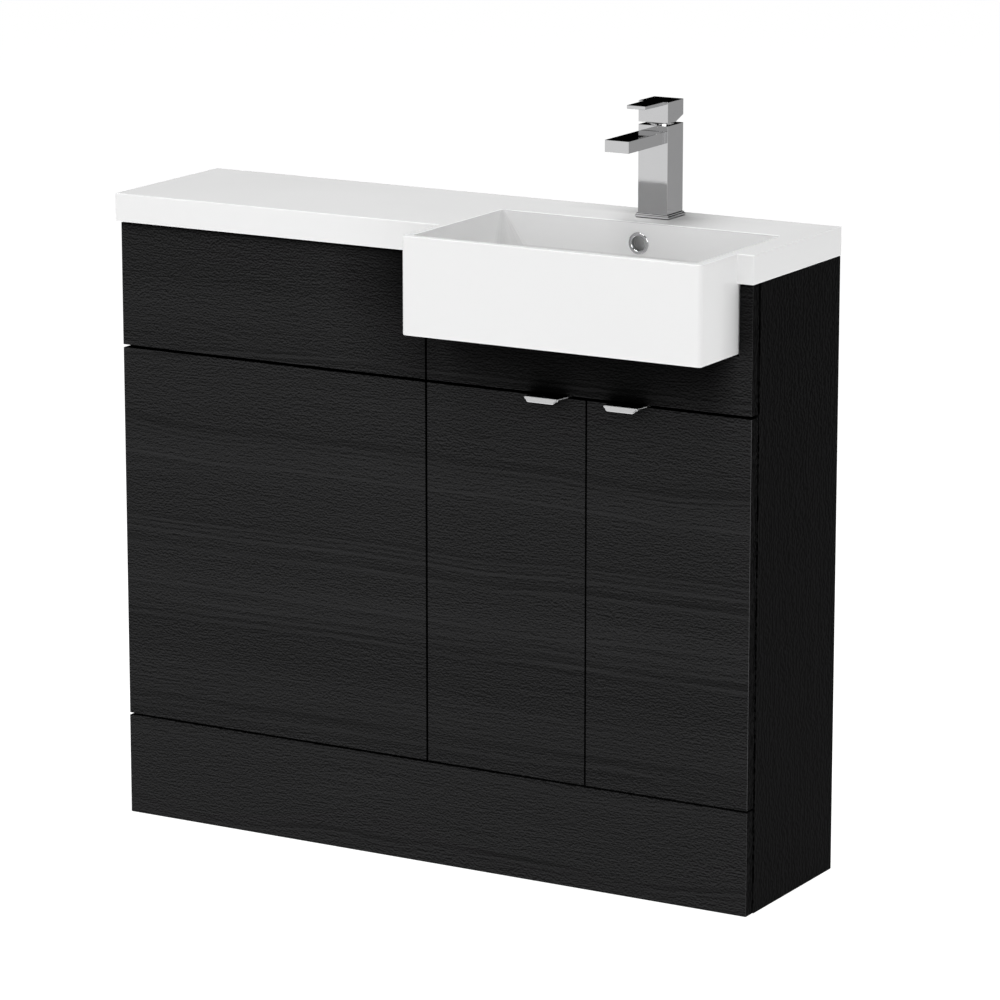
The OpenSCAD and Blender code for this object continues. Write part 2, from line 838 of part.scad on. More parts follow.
// A hinge cup: a bowl in the door with two cheeks that hold its pin, and a flange with two wings
module hinge_cup(z) {
  difference() {
    union() {
      rod_y(cup_d, y_leaf - cup_depth, y_leaf + cup_flange_t, cup_x, z);
      block([cup_x + wing_x - 6, y_leaf, z - wing_z - 6],
        [cup_x + wing_x + 6, y_leaf + cup_flange_t, z + wing_z + 6]);
      cup_screws(z, 0, 0);
    }
    difference() {
      rod_y(cup_d - 2.4, y_leaf - cup_depth + 0.8, y_leaf + cup_flange_t + cut, cup_x, z);
      for (s = [-1, 1])
        block([cup_x - cup_d / 2, y_leaf - cup_depth, z + s * (ear_z0 + 2) - 2],
          [cup_pin[0] + 3, y_leaf + cup_flange_t + 2 * cut, z + s * (ear_z0 + 2) + 2]);
    }
    rod_z(hinge_pin_d + 2 * fit_clear, z - ear_z0 - 3.5, z + ear_z0 + 3.5, cup_pin[0], cup_pin[1]);
  }
}

module hinge_cups_left() {
  color(steel) for (z = hinge_z) hinge_cup(z);
}

module hinge_cups_right() {
  color(steel) right_hand() for (z = hinge_z) hinge_cup(z);
}

module hinge_cup_pins_left() {
  color(steel) for (z = hinge_z)
    rod_z(hinge_pin_d, z - ear_z0 - 3.4, z + ear_z0 + 3.4, cup_pin[0], cup_pin[1]);
}

module hinge_cup_pins_right() {
  color(steel) right_hand() for (z = hinge_z)
    rod_z(hinge_pin_d, z - ear_z0 - 3.4, z + ear_z0 + 3.4, cup_pin[0], cup_pin[1]);
}

// The bowl's outline at one height: how far it lies inside the rim, and its corner radius
module bowl_slice(z, side, front, back, r) {
  translate([0, 0, z]) linear_extrude(0.01) {
    x0 = bowl_x0 + side;
    x1 = bowl_x1 - side;
    y0 = bowl_y0 + front;
    y1 = bowl_y1 - back;
    for (x = [x0 + r, x1 - r]) for (y = [y0 + r, y1 - r]) translate([x, y]) circle(r = r, $fn = 32);
  }
}

// The bowl widens its corners as it deepens, with an upright back wall round the overflow
bowl_mid = z_rim - overflow_z - overflow_d / 2 - 2;
bowl_r_rim = 3;
bowl_r_mid = 34;
bowl_r_low = 52;
bowl_r_floor = 42;

module bowl_hollow() {
  hull() {
    bowl_slice(z_rim + cut, -0.3, -0.3, 0, bowl_r_rim);
    bowl_slice(bowl_mid, 6, 4, 0, bowl_r_mid);
  }
  hull() {
    bowl_slice(bowl_mid, 6, 4, 0, bowl_r_mid);
    bowl_slice(bowl_floor + 14, 14, 10, 8, bowl_r_low);
  }
  hull() {
    bowl_slice(bowl_floor + 14, 14, 10, 8, bowl_r_low);
    bowl_slice(bowl_floor + 4, 19, 15, 13, bowl_r_low - 2);
    bowl_slice(bowl_floor, 30, 26, 24, bowl_r_floor);
  }
}

// The basin's outer box, with its upright front corners rounded
module basin_box() {
  r = basin_corner_r;
  translate([0, 0, z_basin]) linear_extrude(basin_h) {
    translate([bx0 + r, by0]) square([basin_w - 2 * r, by1 - by0]);
    translate([bx0, by0 + r]) square([basin_w, by1 - by0 - r]);
    for (x = [bx0 + r, bx1 - r]) translate([x, by0 + r]) circle(r = r);
  }
}

// The worktop's slab on its skirt, with a rib over the middle boards
module worktop() {
  x0 = x_left - over_left;
  x1 = x_right + over_right;
  y0 = y_face - over_front;
  block([x0, y0, z_slab], [x1, y_wall, z_rim]);
  block([x0, y0, carcass_h], [x0 + skirt_t, y_wall, z_rim]);
  block([x1 - skirt_t, y0, carcass_h], [x1, y_wall, z_rim]);
  block([x0, y0, carcass_h], [x1, y0 + skirt_t, z_rim]);
  block([x0, y_wall - skirt_t, carcass_h], [x1, y_wall, z_rim]);
  block([x_div - skirt_t / 2, y0, carcass_h], [x_div + skirt_t / 2, y_wall, z_rim]);
}

// Overflow water runs down behind the bowl and under its floor to the slots in the waste
channel_y1 = channel_y0 + channel_d;
under_z0 = z_basin + 4;
under_z1 = under_z0 + 7;

module overflow_channel() {
  rod_y(overflow_bore_d + 3, bowl_y1 - cut, channel_y0 + cut, bowl_cx, z_rim - overflow_z);
  block([bowl_cx - channel_w / 2, channel_y0, under_z0],
    [bowl_cx + channel_w / 2, channel_y1, z_rim - overflow_z + 16]);
  block([bowl_cx - channel_w / 2, waste_y, under_z0],
    [bowl_cx + channel_w / 2, channel_y0 + cut, under_z1]);
}

module basin_worktop() {
  color(gloss_white) difference() {
    union() {
      worktop();
      basin_box();
      block([bowl_cx - boss_w / 2, by1 - cut, z_basin],
        [bowl_cx + boss_w / 2, channel_y1 + channel_wall, z_rim]);
    }
    bowl_hollow();
    overflow_channel();
    rod_z(waste_hole_d, z_basin - cut, bowl_floor + cut, waste_x, waste_y);
    rod_z(waste_flange_d + 2, bowl_floor - flange_step, bowl_floor + cut, waste_x, waste_y);
    rod_z(tap_hole_d, carcass_h, z_rim + cut, tx, ty);
  }
}

// The overflow's ring: a rim on the bowl's back wall, and a short sleeve in its hole
module overflow_ring() {
  z = z_rim - overflow_z;
  color(chrome) difference() {
    union() {
      rod_y(overflow_d, bowl_y1 - 2, bowl_y1, bowl_cx, z);
      rod_y(overflow_bore_d + 2.8, bowl_y1 - 1, bowl_y1 + 5, bowl_cx, z);
    }
    rod_y(overflow_bore_d, bowl_y1 - 3, bowl_y1 + 6, bowl_cx, z);
  }
}

// The waste: a flange in the bowl's floor, a threaded tube with overflow slots, a guide for the plug,
// and a narrow groove that parts the backnut's thread from the tail
module waste_body() {
  z_f = bowl_floor - flange_t;
  color(chrome) difference() {
    union() {
      rod_z(waste_flange_d, z_f, bowl_floor, waste_x, waste_y);
      rod_z(waste_d, waste_z0, bowl_floor, waste_x, waste_y);
    }
    difference() {
      rod_z(waste_bore_d, waste_z0 - cut, bowl_floor + cut, waste_x, waste_y);
      for (a = [0, 90]) translate([waste_x, waste_y, z_basin - 20]) rotate([0, 0, a])
        translate([-waste_bore_d / 2 - cut, -2, 0]) cube([waste_bore_d + 2 * cut, 4, 8]);
      rod_z(guide_d + 6, z_basin - 20, z_basin - 12, waste_x, waste_y);
    }
    rod_z(guide_d + 2 * run_clear, z_basin - 21, z_basin - 11, waste_x, waste_y);
    block([waste_x - waste_d, waste_y - 7, under_z0], [waste_x + waste_d, waste_y + 7, under_z1]);
    ring(waste_d + 2, waste_d - 1, z_groove - 1.5, z_groove, waste_x, waste_y);
  }
}

// A round washer or nut blank
module ring(d_out, d_in, z0, z1, x, y) {
  difference() {
    rod_z(d_out, z0, z1, x, y);
    rod_z(d_in, z0 - cut, z1 + cut, x, y);
  }
}

module waste_flange_seal() {
  color(rubber) ring(waste_flange_d - 1, waste_hole_d + 2, bowl_floor - flange_step,
    bowl_floor - flange_t, waste_x, waste_y);
}

module waste_cone_washer() {
  color(rubber) ring(waste_hole_d + 14, waste_d + 0.4, z_basin - cone_h, z_basin, waste_x, waste_y);
}

module waste_backnut() {
  z1 = z_basin - cone_h;
  color(brass) difference() {
    union() {
      rod_z(waste_hole_d + 14, z1 - 2, z1, waste_x, waste_y);
      translate([waste_x, waste_y, z1 - nut_h]) cylinder(d = waste_hole_d + 12, h = nut_h, $fn = 6);
    }
    rod_z(waste_d + 0.2, z1 - nut_h - cut, z1 + cut, waste_x, waste_y);
  }
}

// The push plug: a low disc over the flange, on a stem in the waste's guide
module waste_plug() {
  z0 = bowl_floor + plug_seat;
  color(chrome) {
    rod_z(plug_d, z0, z0 + plug_t, waste_x, waste_y);
    rod_z(guide_d + 10, z0 - 3, z0 + 1, waste_x, waste_y);
    rod_z(guide_d, z_basin - 26, z0 + 1, waste_x, waste_y);
  }
}

// The column with its spout, bored for the cartridge, the waterway and the aerator
aerator_d = 21;
aerator_h = 9;
aerator_y = y_spout + 16;
z_water = (z_spout0 + z_spout1) / 2 + 1;
z_chamber = z_column - collar_h - cartridge_h + 4;

module tap_body() {
  color(chrome) difference() {
    union() {
      block([tx - column_w / 2, ty - column_w / 2, z_tap],
        [tx + column_w / 2, ty + column_w / 2, z_column]);
      block([tx - spout_w / 2, y_spout, z_spout0], [tx + spout_w / 2, ty, z_spout1]);
    }
    rod_z(collar_d + 2 * fit_clear, z_column - collar_h + collar_rise, z_column + cut, tx, ty);
    rod_z(cartridge_d + 2 * fit_clear, z_chamber, z_column + cut, tx, ty);
    rod_z(16, z_tap + 4, z_chamber + cut, tx, ty);
    rod_z(shank_thread_d + 2 * fit_clear, z_tap - cut, z_tap + 10, tx, ty);
    rod_y(9, aerator_y, ty, tx, z_water);
    rod_z(9, z_spout0, z_water, tx, aerator_y);
    rod_z(aerator_d + 2 * fit_clear, z_spout0 - cut, z_spout0 + aerator_h - 1, tx, aerator_y);
  }
}

// A square base in two steps, round the shank
shank_thread_d = shank_d - 4;

module tap_base() {
  z0 = z_rim + tap_seal_t;
  step = (tap_base_h - tap_seal_t) * 0.6;
  color(chrome) difference() {
    union() {
      block([tx - tap_base_w / 2, ty - tap_base_d / 2, z0],
        [tx + tap_base_w / 2, ty + tap_base_d / 2, z0 + step]);
      block([tx - tap_base_w / 2 + 1.5, ty - tap_base_d / 2 + 1, z0],
        [tx + tap_base_w / 2 - 1.5, ty + tap_base_d / 2 - 1, z_tap]);
    }
    rod_z(shank_thread_d + 0.6, z0 - cut, z_tap + cut, tx, ty);
  }
}

module tap_base_seal() {
  color(rubber) difference() {
    block([tx - tap_base_w / 2 + 1, ty - tap_base_d / 2 + 1, z_rim],
      [tx + tap_base_w / 2 - 1, ty + tap_base_d / 2 - 1, z_rim + tap_seal_t]);
    rod_z(shank_d + 1, z_rim - cut, z_rim + tap_seal_t + cut, tx, ty);
  }
}

// The shank: a narrow thread up into the column, a wide thread for the backnut, and two inlet sockets
inlet_in = 7.5;
inlet_l = 14;

module tap_shank() {
  color(brass) difference() {
    union() {
      rod_z(shank_thread_d, z_rim - 2, z_tap + 9.5, tx, ty);
      rod_z(shank_d, shank_z0, z_rim + tap_seal_t, tx, ty);
    }
    for (s = [-1, 1]) {
      rod_z(inlet_d, shank_z0 - cut, shank_z0 + inlet_l, tx + s * inlet_in, ty);
      rod_z(6, shank_z0 + inlet_l - cut, z_tap + 10, tx + s * inlet_in, ty);
    }
  }
}

// The backnut, with its collar against the underside of the worktop's slab
module tap_backnut() {
  color(brass) difference() {
    union() {
      rod_z(tap_hole_d + 17, z_slab - 3, z_slab, tx, ty);
      translate([tx, ty, z_slab - 11]) cylinder(d = shank_d + 16, h = 9, $fn = 6);
    }
    rod_z(shank_d + 2 * fit_clear, z_slab - 12, z_slab + cut, tx, ty);
  }
}

module tap_aerator() {
  color(chrome) difference() {
    rod_z(aerator_d, z_spout0 - 1, z_spout0 + aerator_h - 1, tx, aerator_y);
    rod_z(aerator_d - 6, z_spout0 - 2, z_spout0 + 2, tx, aerator_y);
    rod_z(9, z_spout0, z_spout0 + aerator_h, tx, aerator_y);
  }
}

// The cartridge, with a well for the spindle
module tap_cartridge() {
  z1 = z_column - collar_h + collar_rise;
  color(dark_plastic) difference() {
    rod_z(cartridge_d, z_chamber, z1, tx, ty);
    rod_z(stem_d + 2 * run_clear, z1 - 14, z1 + cut, tx, ty);
    for (s = [-1, 1]) rod_z(6, z_chamber - cut, z_chamber + 10, tx + s * inlet_in, ty);
  }
}

module cartridge_collar() {
  z0 = z_column - collar_h + collar_rise;
  color(chrome) ring(collar_d, stem_d + 10, z0, z_column + collar_rise, tx, ty);
}

// The spindle turns in the cartridge, and the lever head's pin passes through it
module tap_spindle() {
  z1 = z_column - collar_h + collar_rise;
  color(steel) difference() {
    rod_z(stem_d, z1 - 13.7, lever_pin_z + 5, tx, ty);
    rod_x(lever_pin_d + 2 * run_clear, tx - stem_d, tx + stem_d, ty, lever_pin_z);
  }
}

// The cross pin on which the lever head tilts, held in the head by the grub screw
lever_pin_half = head_cavity_w / 2 + 6;

module lever_pin() {
  color(steel) rod_x(lever_pin_d, tx - lever_pin_half + 0.2, tx + lever_pin_half - 0.2, ty, lever_pin_z);
}

// The lever head: a square block with a flat lever, cut away below at the back to tilt
chamfer_y = 21;
chamfer_z = 7.5;

module lever_head() {
  y0 = ty - column_w / 2;
  y1 = ty + column_w / 2;
  y_tip = ty - lever_reach;
  cy = head_cavity_w / 2 + 1;
  color(chrome) difference() {
    union() {
      translate([tx - column_w / 2, 0, 0]) rotate([90, 0, 90]) linear_extrude(column_w) polygon([
        [y0, z_head0], [y1 - chamfer_y, z_head0], [y1, z_head0 + chamfer_z], [y1, z_head1], [y0, z_head1]]);
      translate([tx, 0, z_head1 - lever_t]) linear_extrude(lever_t) polygon([
        [-lever_w / 2, y_tip], [lever_w / 2, y_tip],
        [lever_w / 2 + 1, y0 + 1], [-lever_w / 2 - 1, y0 + 1]]);
    }
    block([tx - head_cavity_w / 2, ty - cy, z_head0 - cut],
      [tx + head_cavity_w / 2, ty + cy, lever_pin_z + 9]);
    rod_x(lever_pin_d + 2 * fit_clear, tx - lever_pin_half, tx + lever_pin_half, ty, lever_pin_z);
    rod_y(grub_d + 2 * fit_clear, ty, y1 + cut, x_grub, lever_pin_z);
  }
}

// The grub screw reaches the pin from the cut-away at the back, beside the cavity
grub_d = 3;
grub_l = 8;
x_grub = tx + head_cavity_w / 2 + 3.5;

module lever_grub_screw() {
  y0 = ty + lever_pin_d / 2 + 0.1;
  color(steel) difference() {
    rod_y(grub_d, y0, y0 + grub_l, x_grub, lever_pin_z);
    translate([x_grub, y0 + grub_l + 1, lever_pin_z]) rotate([90, 0, 0])
      cylinder(d = 1.7, h = 3.5, $fn = 6);
  }
}

wc_side_left();
wc_side_right();
wc_back_rail();
wc_top_rail();
wc_mid_rail();
wc_base_rail();
wc_upper_fascia();
wc_lower_fascia();
wc_dowels();
vanity_side_left();
vanity_side_right();
base_panel();
back_panel();
vanity_back_rail();
vanity_front_rail();
vanity_upper_fascia();
shelf();
shelf_pins();
vanity_dowels();
fascia_clips();
plinth_panel();
cabinet_connectors();
connector_bolts();
door_left();
door_right();
handle_left();
handle_right();
handle_screws_left();
handle_screws_right();
door_buffers_left();
door_buffers_right();
hinge_plates();
hinge_plate_screws();
hinge_arms();
hinge_arm_pins();
hinge_links_left();
hinge_links_right();
hinge_cups_left();
hinge_cups_right();
hinge_cup_pins_left();
hinge_cup_pins_right();
basin_worktop();
overflow_ring();
waste_body();
waste_flange_seal();
waste_cone_washer();
waste_backnut();
waste_plug();
tap_body();
tap_base();
tap_base_seal();
tap_shank();
tap_backnut();
tap_aerator();
tap_cartridge();
cartridge_collar();
tap_spindle();
lever_pin();
lever_head();
lever_grub_screw();
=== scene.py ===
"""Looks of the vanity unit with basin, built round its packed construction. Sizes are in metres."""
import math

import bpy
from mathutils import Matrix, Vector

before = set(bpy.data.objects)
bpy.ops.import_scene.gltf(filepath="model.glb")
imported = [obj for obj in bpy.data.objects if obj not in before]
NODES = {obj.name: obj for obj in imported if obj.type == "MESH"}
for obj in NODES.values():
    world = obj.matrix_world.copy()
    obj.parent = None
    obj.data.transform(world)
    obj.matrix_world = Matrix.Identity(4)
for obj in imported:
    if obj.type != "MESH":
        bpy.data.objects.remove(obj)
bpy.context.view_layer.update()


def corners(name):
    """The low and the high corner of a construction node, with the model at rest."""
    points = [v.co for v in NODES[name].data.vertices]
    low = [min(p[axis] for p in points) for axis in range(3)]
    high = [max(p[axis] for p in points) for axis in range(3)]
    return low, high


# Places taken from the construction

BASIN_LOW, BASIN_HIGH = corners("basin_worktop")
RING_LOW, RING_HIGH = corners("overflow_ring")
TAP_LOW, TAP_HIGH = corners("tap_base")
FASCIA_LOW_Z = corners("vanity_upper_fascia")[0][2]
RIM_Z = BASIN_HIGH[2]
BOWL_MIDDLE_X = (RING_LOW[0] + RING_HIGH[0]) / 2
TAP_MIDDLE_Y = (TAP_LOW[1] + TAP_HIGH[1]) / 2

# Tones of the foil, as linear greys for the dark and the pale end of its grain

FRONT_TONE, FRONT_IOR = (0.0020, 0.0231), 1.15
SIDE_TONE, SIDE_IOR = (0.0005, 0.0085), 1.05
SHELF_TONE = (0.0060, 0.0300)
SIDE_CONTRAST, INNER_CONTRAST = 2.5, 0.35
FOIL_ROUGHNESS, FOIL_ROUGHNESS_RISE = 0.50, 0.16
FOIL_BLUE = 1.03
EMBOSS_DEPTH, EMBOSS_STRENGTH = 0.00022, 0.4
# How far a surface has to face left or right to be a side edge, and where the foil turns round it
EDGE_FACING, TURN_FACING = (0.80, 0.92), (0.15, 0.35)
# Painted highlight: how much paler the line is made where the foil turns round an outermost upright edge
EDGE_HIGHLIGHT = 0.08
# An edge further out than this is one of the unit's outermost edges
OUTER_X = 0.45

# Shade on the foil near the basin: its reach, and how strong it is in front of the bowl, right of it,
# left of it and on the doors below it. It fades in between the heights of SHADE_Z.

SHADE_REACH, SHADE_SAMPLES = 0.18, 6
SHADE_POWER, RIGHT_SHADE_POWER = 4.4, 0.9
LEFT_SHADE, DOOR_SHADE = 1.8, 0.3
LEFT_SHADE_X, RIGHT_SHADE_X, SHADE_Z = (0.0, 0.03), (0.44, 0.48), (0.40, 0.66)
DOOR_LINE_Z, DOOR_LINE_BLUR = FASCIA_LOW_Z - 0.0005, 0.002

# Woodgrain: each noise has its steps to the metre along and across the grain

SLOW_BEND, SLOW_BEND_BY = (1.7, 3.4), 0.034
QUICK_BEND, QUICK_BEND_BY = (7.0, 16.0), 0.0052
SHORT_DASHES, LONG_DASHES, LONG_DASH_SHARE = (290.0, 430.0), (45.0, 430.0), 0.52
DASH_STEP, DASH_STRENGTH, DASH_DEPTH = 0.0010, 2.15, 150.0
HAIRS, PALE_HAIR, DIM_HAIR = (3.0, 210.0), 0.16, 0.14
PALE_HAIR_AT, DIM_HAIR_AT = (0.60, 0.70), (0.40, 0.30)
HAIR_GROUPS, HAIR_GROUPS_AT = (2.4, 9.0), (0.44, 0.62)
BROAD_BANDS, BROAD_STRENGTH = (1.5, 22.0), 0.16
LINE_FADE, LINE_FADE_AT, LINE_FADE_TO = (6.0, 30.0), (0.30, 0.62), (0.30, 1.20)
LINE_STRENGTH = 0.95
ZONE_STRENGTH = 0.40
# How far the dashes give way to a growth line
LINE_CALM = 0.55
# Grain on the sides, which is broader than on the fronts: its scale along and across
SIDE_GRAIN = (0.60, 0.52)
# A curve's full height stands for this range of strengths, with zero in its middle
MARK_SPAN = 12.0
# A growth line ends this far beyond its outermost mark, in millimetres
LINE_MARGIN = 4.0
# The curves along the grain start this far left of the unit's middle
CHART_LEFT = 0.5
MILLIMETRES = 1000.0

# Growth lines of the fronts, in millimetres. Each has the path of its middle (along, up) and the
# marks across it (offset, strength): pale above zero, dark below.
GROWTH_LINES = [
    ([(-495, 579), (-450, 573), (-405, 569), (-350, 567), (-270, 571), (-180, 572), (0, 571), (60, 568),
      (180, 569), (240, 567), (315, 563), (370, 561), (440, 564), (495, 569)],
     [(-11, 1.2), (-8, -1.2), (-5.5, 3.8), (-1.8, -2.4), (1.8, 2.6), (7.5, -1.6), (12, -1.2), (16, -1.8),
      (19, 0.6)]),
    ([(-495, 537), (-405, 534), (-340, 532), (-225, 536), (0, 535), (90, 536), (225, 533), (315, 531),
      (370, 527), (450, 530), (495, 530)],
     [(-4, -0.6), (-0.4, 4.2), (3.2, -0.8), (8.5, 1.6), (12, -0.4)]),
    ([(-495, 424), (-360, 424), (-225, 426), (-110, 428), (0, 427), (90, 425), (135, 427), (215, 432),
      (315, 434), (495, 436)],
     [(-25, 0.8), (-21.3, 2.6), (-17, -1.2), (-11.5, -2.0), (-8, 0.2), (-4.5, -1.6), (1, 4.2), (5, -2.8),
      (9.2, 2.6), (12.8, -2.4), (15.8, 3.4), (19.5, -1.4)]),
    ([(-495, 312), (-300, 314), (-90, 318), (0, 319.5), (60, 321), (130, 327), (200, 329), (300, 327),
      (400, 325.5), (495, 328)],
     [(-5.5, -2.0), (0, 2.2), (5.2, -1.4), (12, 1.4), (17, 0.6)]),
    ([(-495, 300.5), (-300, 303), (-100, 306.5), (0, 305), (60, 304.5), (120, 308.5), (180, 312),
      (250, 312.5), (350, 311), (495, 311)],
     [(-6, -1.2), (0, 4.4), (5, -0.4)]),
    ([(-495, 348), (-360, 351), (0, 351), (135, 347), (180, 347), (270, 353), (400, 358), (495, 361)],
     [(-5.5, -1.2), (-0.5, 3.0), (3, -0.4), (8, 1.0), (11, 1.0)]),
    ([(-495, 200), (-180, 203), (0, 204), (135, 205), (270, 207), (495, 208)],
     [(-30, 1.4), (-22, -1.2), (-16, -1.8), (-11.5, 1.8), (-8, -0.8), (-5, 1.8), (-1, -1.2), (2.5, 1.6),
      (5, -1.6), (8, 2.0), (12.5, -1.0), (17, 1.2), (23.5, -1.2), (28.5, 0.9)]),
    ([(-495, 161), (-400, 163), (-270, 165), (-135, 168), (90, 168), (225, 171), (290, 176), (360, 173),
      (420, 166), (495, 161)],
     [(-6, -1.0), (-2.5, -0.6), (1.8, 2.6), (5.5, -1.8)]),
    ([(-495, 131), (-225, 133.5), (-45, 135), (135, 134), (240, 130), (320, 129), (370, 133), (430, 138),
      (495, 141)],
     [(-7, 1.0), (-4.3, -1.6), (-1, 2.6), (1.8, -1.0), (4.8, 2.4), (8, -1.2)]),
    ([(-495, 26), (-450, 18), (-400, 12), (-350, 9), (-300, 9), (-250, 15), (-200, 22), (-150, 25),
      (-50, 21), (10, 27), (220, 27), (285, 21), (345, 19), (400, 22), (450, 28), (495, 33)],
     [(-13, 1.2), (-9, -1.6), (-4.5, 2.2), (0, -2.4), (4, -1.4), (8, 0.4)]),
    ([(-380, 688), (-305, 693), (-238, 696), (-138, 701), (-90, 702.5), (-12, 699), (495, 700)],
     [(-4.5, -2.2), (0, 4.2), (4.5, -2.4)]),
    ([(-495, 729), (-382, 726), (-355, 722), (-325, 717), (-272, 707.5), (-212, 705), (0, 706),
      (495, 708)],
     [(-4, -0.8), (0, 1.6), (4.5, -0.8)]),
]
# Slow light and dark zones of the fronts: height in millimetres and strength
ZONES = [
    (0, 0.0), (120, 0.8), (160, -2.0), (220, 0.6), (270, -2.4), (315, -0.8), (357, 2.6), (405, 0.2),
    (490, 0.2), (540, 3.2), (582, -0.4), (655, 1.2), (705, -2.2), (757, 1.2), (800, -2.6), (1000, 0.0)]

# Resin. Painted shade and light inside the bowl: its colour is darker towards the floor and paler up its
# walls and at its
# brink: depths below the rim, with the tone at the first two and what the brink adds to the second.

BOWL_BOX = ((BOWL_MIDDLE_X - 0.220, BOWL_MIDDLE_X + 0.220),
            (BASIN_LOW[1] + 0.006, RING_HIGH[1] + 0.003),
            (BASIN_LOW[2] - 0.01, RIM_Z - 0.0008))
BOWL_DEPTHS, BOWL_SHADING_TONES = (0.104, 0.044, 0.002), (0.92, 1.06, 1.135)
# Painted shade: slopes between wall and floor are dimmer still, and so is the front wall
SLOPE_DEPTHS, SLOPE_SHADE_TONES, SLOPE_FACING = (0.069, 0.044), (0.85, 0.56), (0.02, 0.42)
FRONT_WALL_SHADE, FRONT_WALL_FACING = 0.78, (0.3, 0.8)
# Painted shadow of the tap: the worktop's top is darkened round the right and back of the tap's foot
TAP_BOX = ((TAP_LOW[0] - 0.126, TAP_HIGH[0] + 0.142),
           (RING_HIGH[1] - 0.004, BASIN_HIGH[1] + 0.02),
           (RIM_Z - 0.0004, RIM_Z + 0.096))
TAP_SHADE_X = (TAP_HIGH[0] - 0.028, TAP_HIGH[0] + 0.007)
TAP_SHADE_Y = (TAP_MIDDLE_Y - 0.006, TAP_MIDDLE_Y + 0.019)
TAP_REACH, TAP_SAMPLES, TAP_SHADOW_TONE, TAP_SHADOW_AT = 0.15, 8, 0.60, (0.70, 1.0)
# Painted shade: the top is made less pale, and less glossy, than the rest, so that it doesn't burn out
# in a high view
TOP_PAINTED_SHADE, TOP_GLOSS, TOP_FACING, TOP_SKIN = 0.855, 0.06, (0.90, 0.99), 0.0003
RESIN_GREY, RESIN_GREY_RISE = 0.845, 0.018
RESIN_GLOSS, RESIN_IOR = 0.35, 1.48
# Gloss is taken off the bowl's slopes and floor
BOWL_DULL, BOWL_DULL_FACING = 0.32, (0.05, 0.30)
RESIN_ROUGHNESS, RESIN_ROUGHNESS_SLOW, RESIN_ROUGHNESS_FINE = 0.16, 0.06, 0.03
RESIN_RELIEF, RESIN_RELIEF_STRENGTH = 0.00001, 0.25

# Other finishes: tones, roughness and the depth of their fine relief

BOARD_TONES, BOARD_ROUGHNESS, BOARD_GLOSS, BOARD_RELIEF = (0.018, 0.035), 0.6, 0.2, 0.0001
CHROME_TINTS, CHROME_EDGE_FACING = ((1.0, 1.0, 1.01), (1.05, 1.05, 1.06)), (0.6, 0.9)
METAL_SHADES, METAL_SCRATCH, METAL_RELIEF = (0.86, 1.08), 0.14, 0.00001
MOULDED_SHADES, MOULDED_GLOSS, MOULDED_RELIEF = (0.8, 1.25), 0.3, 0.00004
BEECH_TONES = ((0.42, 0.27, 0.14, 1.0), (0.62, 0.44, 0.26, 1.0))
BEECH_GRAIN, BEECH_ROUGHNESS, BEECH_RELIEF = (60.0, 900.0, 900.0), 0.6, 0.0001

# Rounding of the visible edges, with the number of steps across it

ROUNDING = {
    "basin_worktop": (0.0016, 3),
    "tap_body": (0.00025, 1), "tap_base": (0.0002, 1), "lever_head": (0.0003, 2),
    "overflow_ring": (0.0012, 4), "waste_plug": (0.0008, 3), "waste_body": (0.0005, 2),
    "handle_left": (0.0009, 3), "handle_right": (0.0009, 3),
    "door_left": (0.0007, 2), "door_right": (0.0007, 2), "plinth_panel": (0.0007, 2),
    "wc_upper_fascia": (0.0007, 2), "wc_lower_fascia": (0.0007, 2), "vanity_upper_fascia": (0.0007, 2),
    "vanity_side_right": (0.0006, 2), "wc_side_left": (0.0006, 2), "shelf": (0.0006, 2),
}
# Nodes whose flat faces are joined before their edges are rounded
FLATTEN = ("basin_worktop", "tap_body", "lever_head", "handle_left", "handle_right")
WELD_REACH, FLAT_ANGLE, SHARP_ANGLE = 0.00001, math.radians(0.6), math.radians(40)

# Camera, fitted to the photograph: its place, and its direction in degrees round and above the unit

CAMERA_PLACE = (3.31702, -5.60586, 1.99808)
CAMERA_AZIMUTH, CAMERA_ELEVATION = 30.042, 12.923
CAMERA_LENS, CAMERA_SENSOR = 173.63, 36.0
CAMERA_NEAR, CAMERA_FAR = 0.1, 90.0

# Stage

FLOOR_SIZE, FLOOR_DROP = 60.0, 0.0004
FLOOR_GREY = 0.35
# The floor's glow as the camera and gloss see it, and as it lights the unit
FLOOR_SEEN, FLOOR_GLOW = 0.92, 1.19
WORLD_SEEN, WORLD_AMBIENT, WORLD_GLOSS = 1.0, 0.20, 0.002
UNIT_MIDDLE = (0.0, 0.0, 0.5)
BOWL_BACK = (0.25, 0.06, 0.87)


# Node helpers


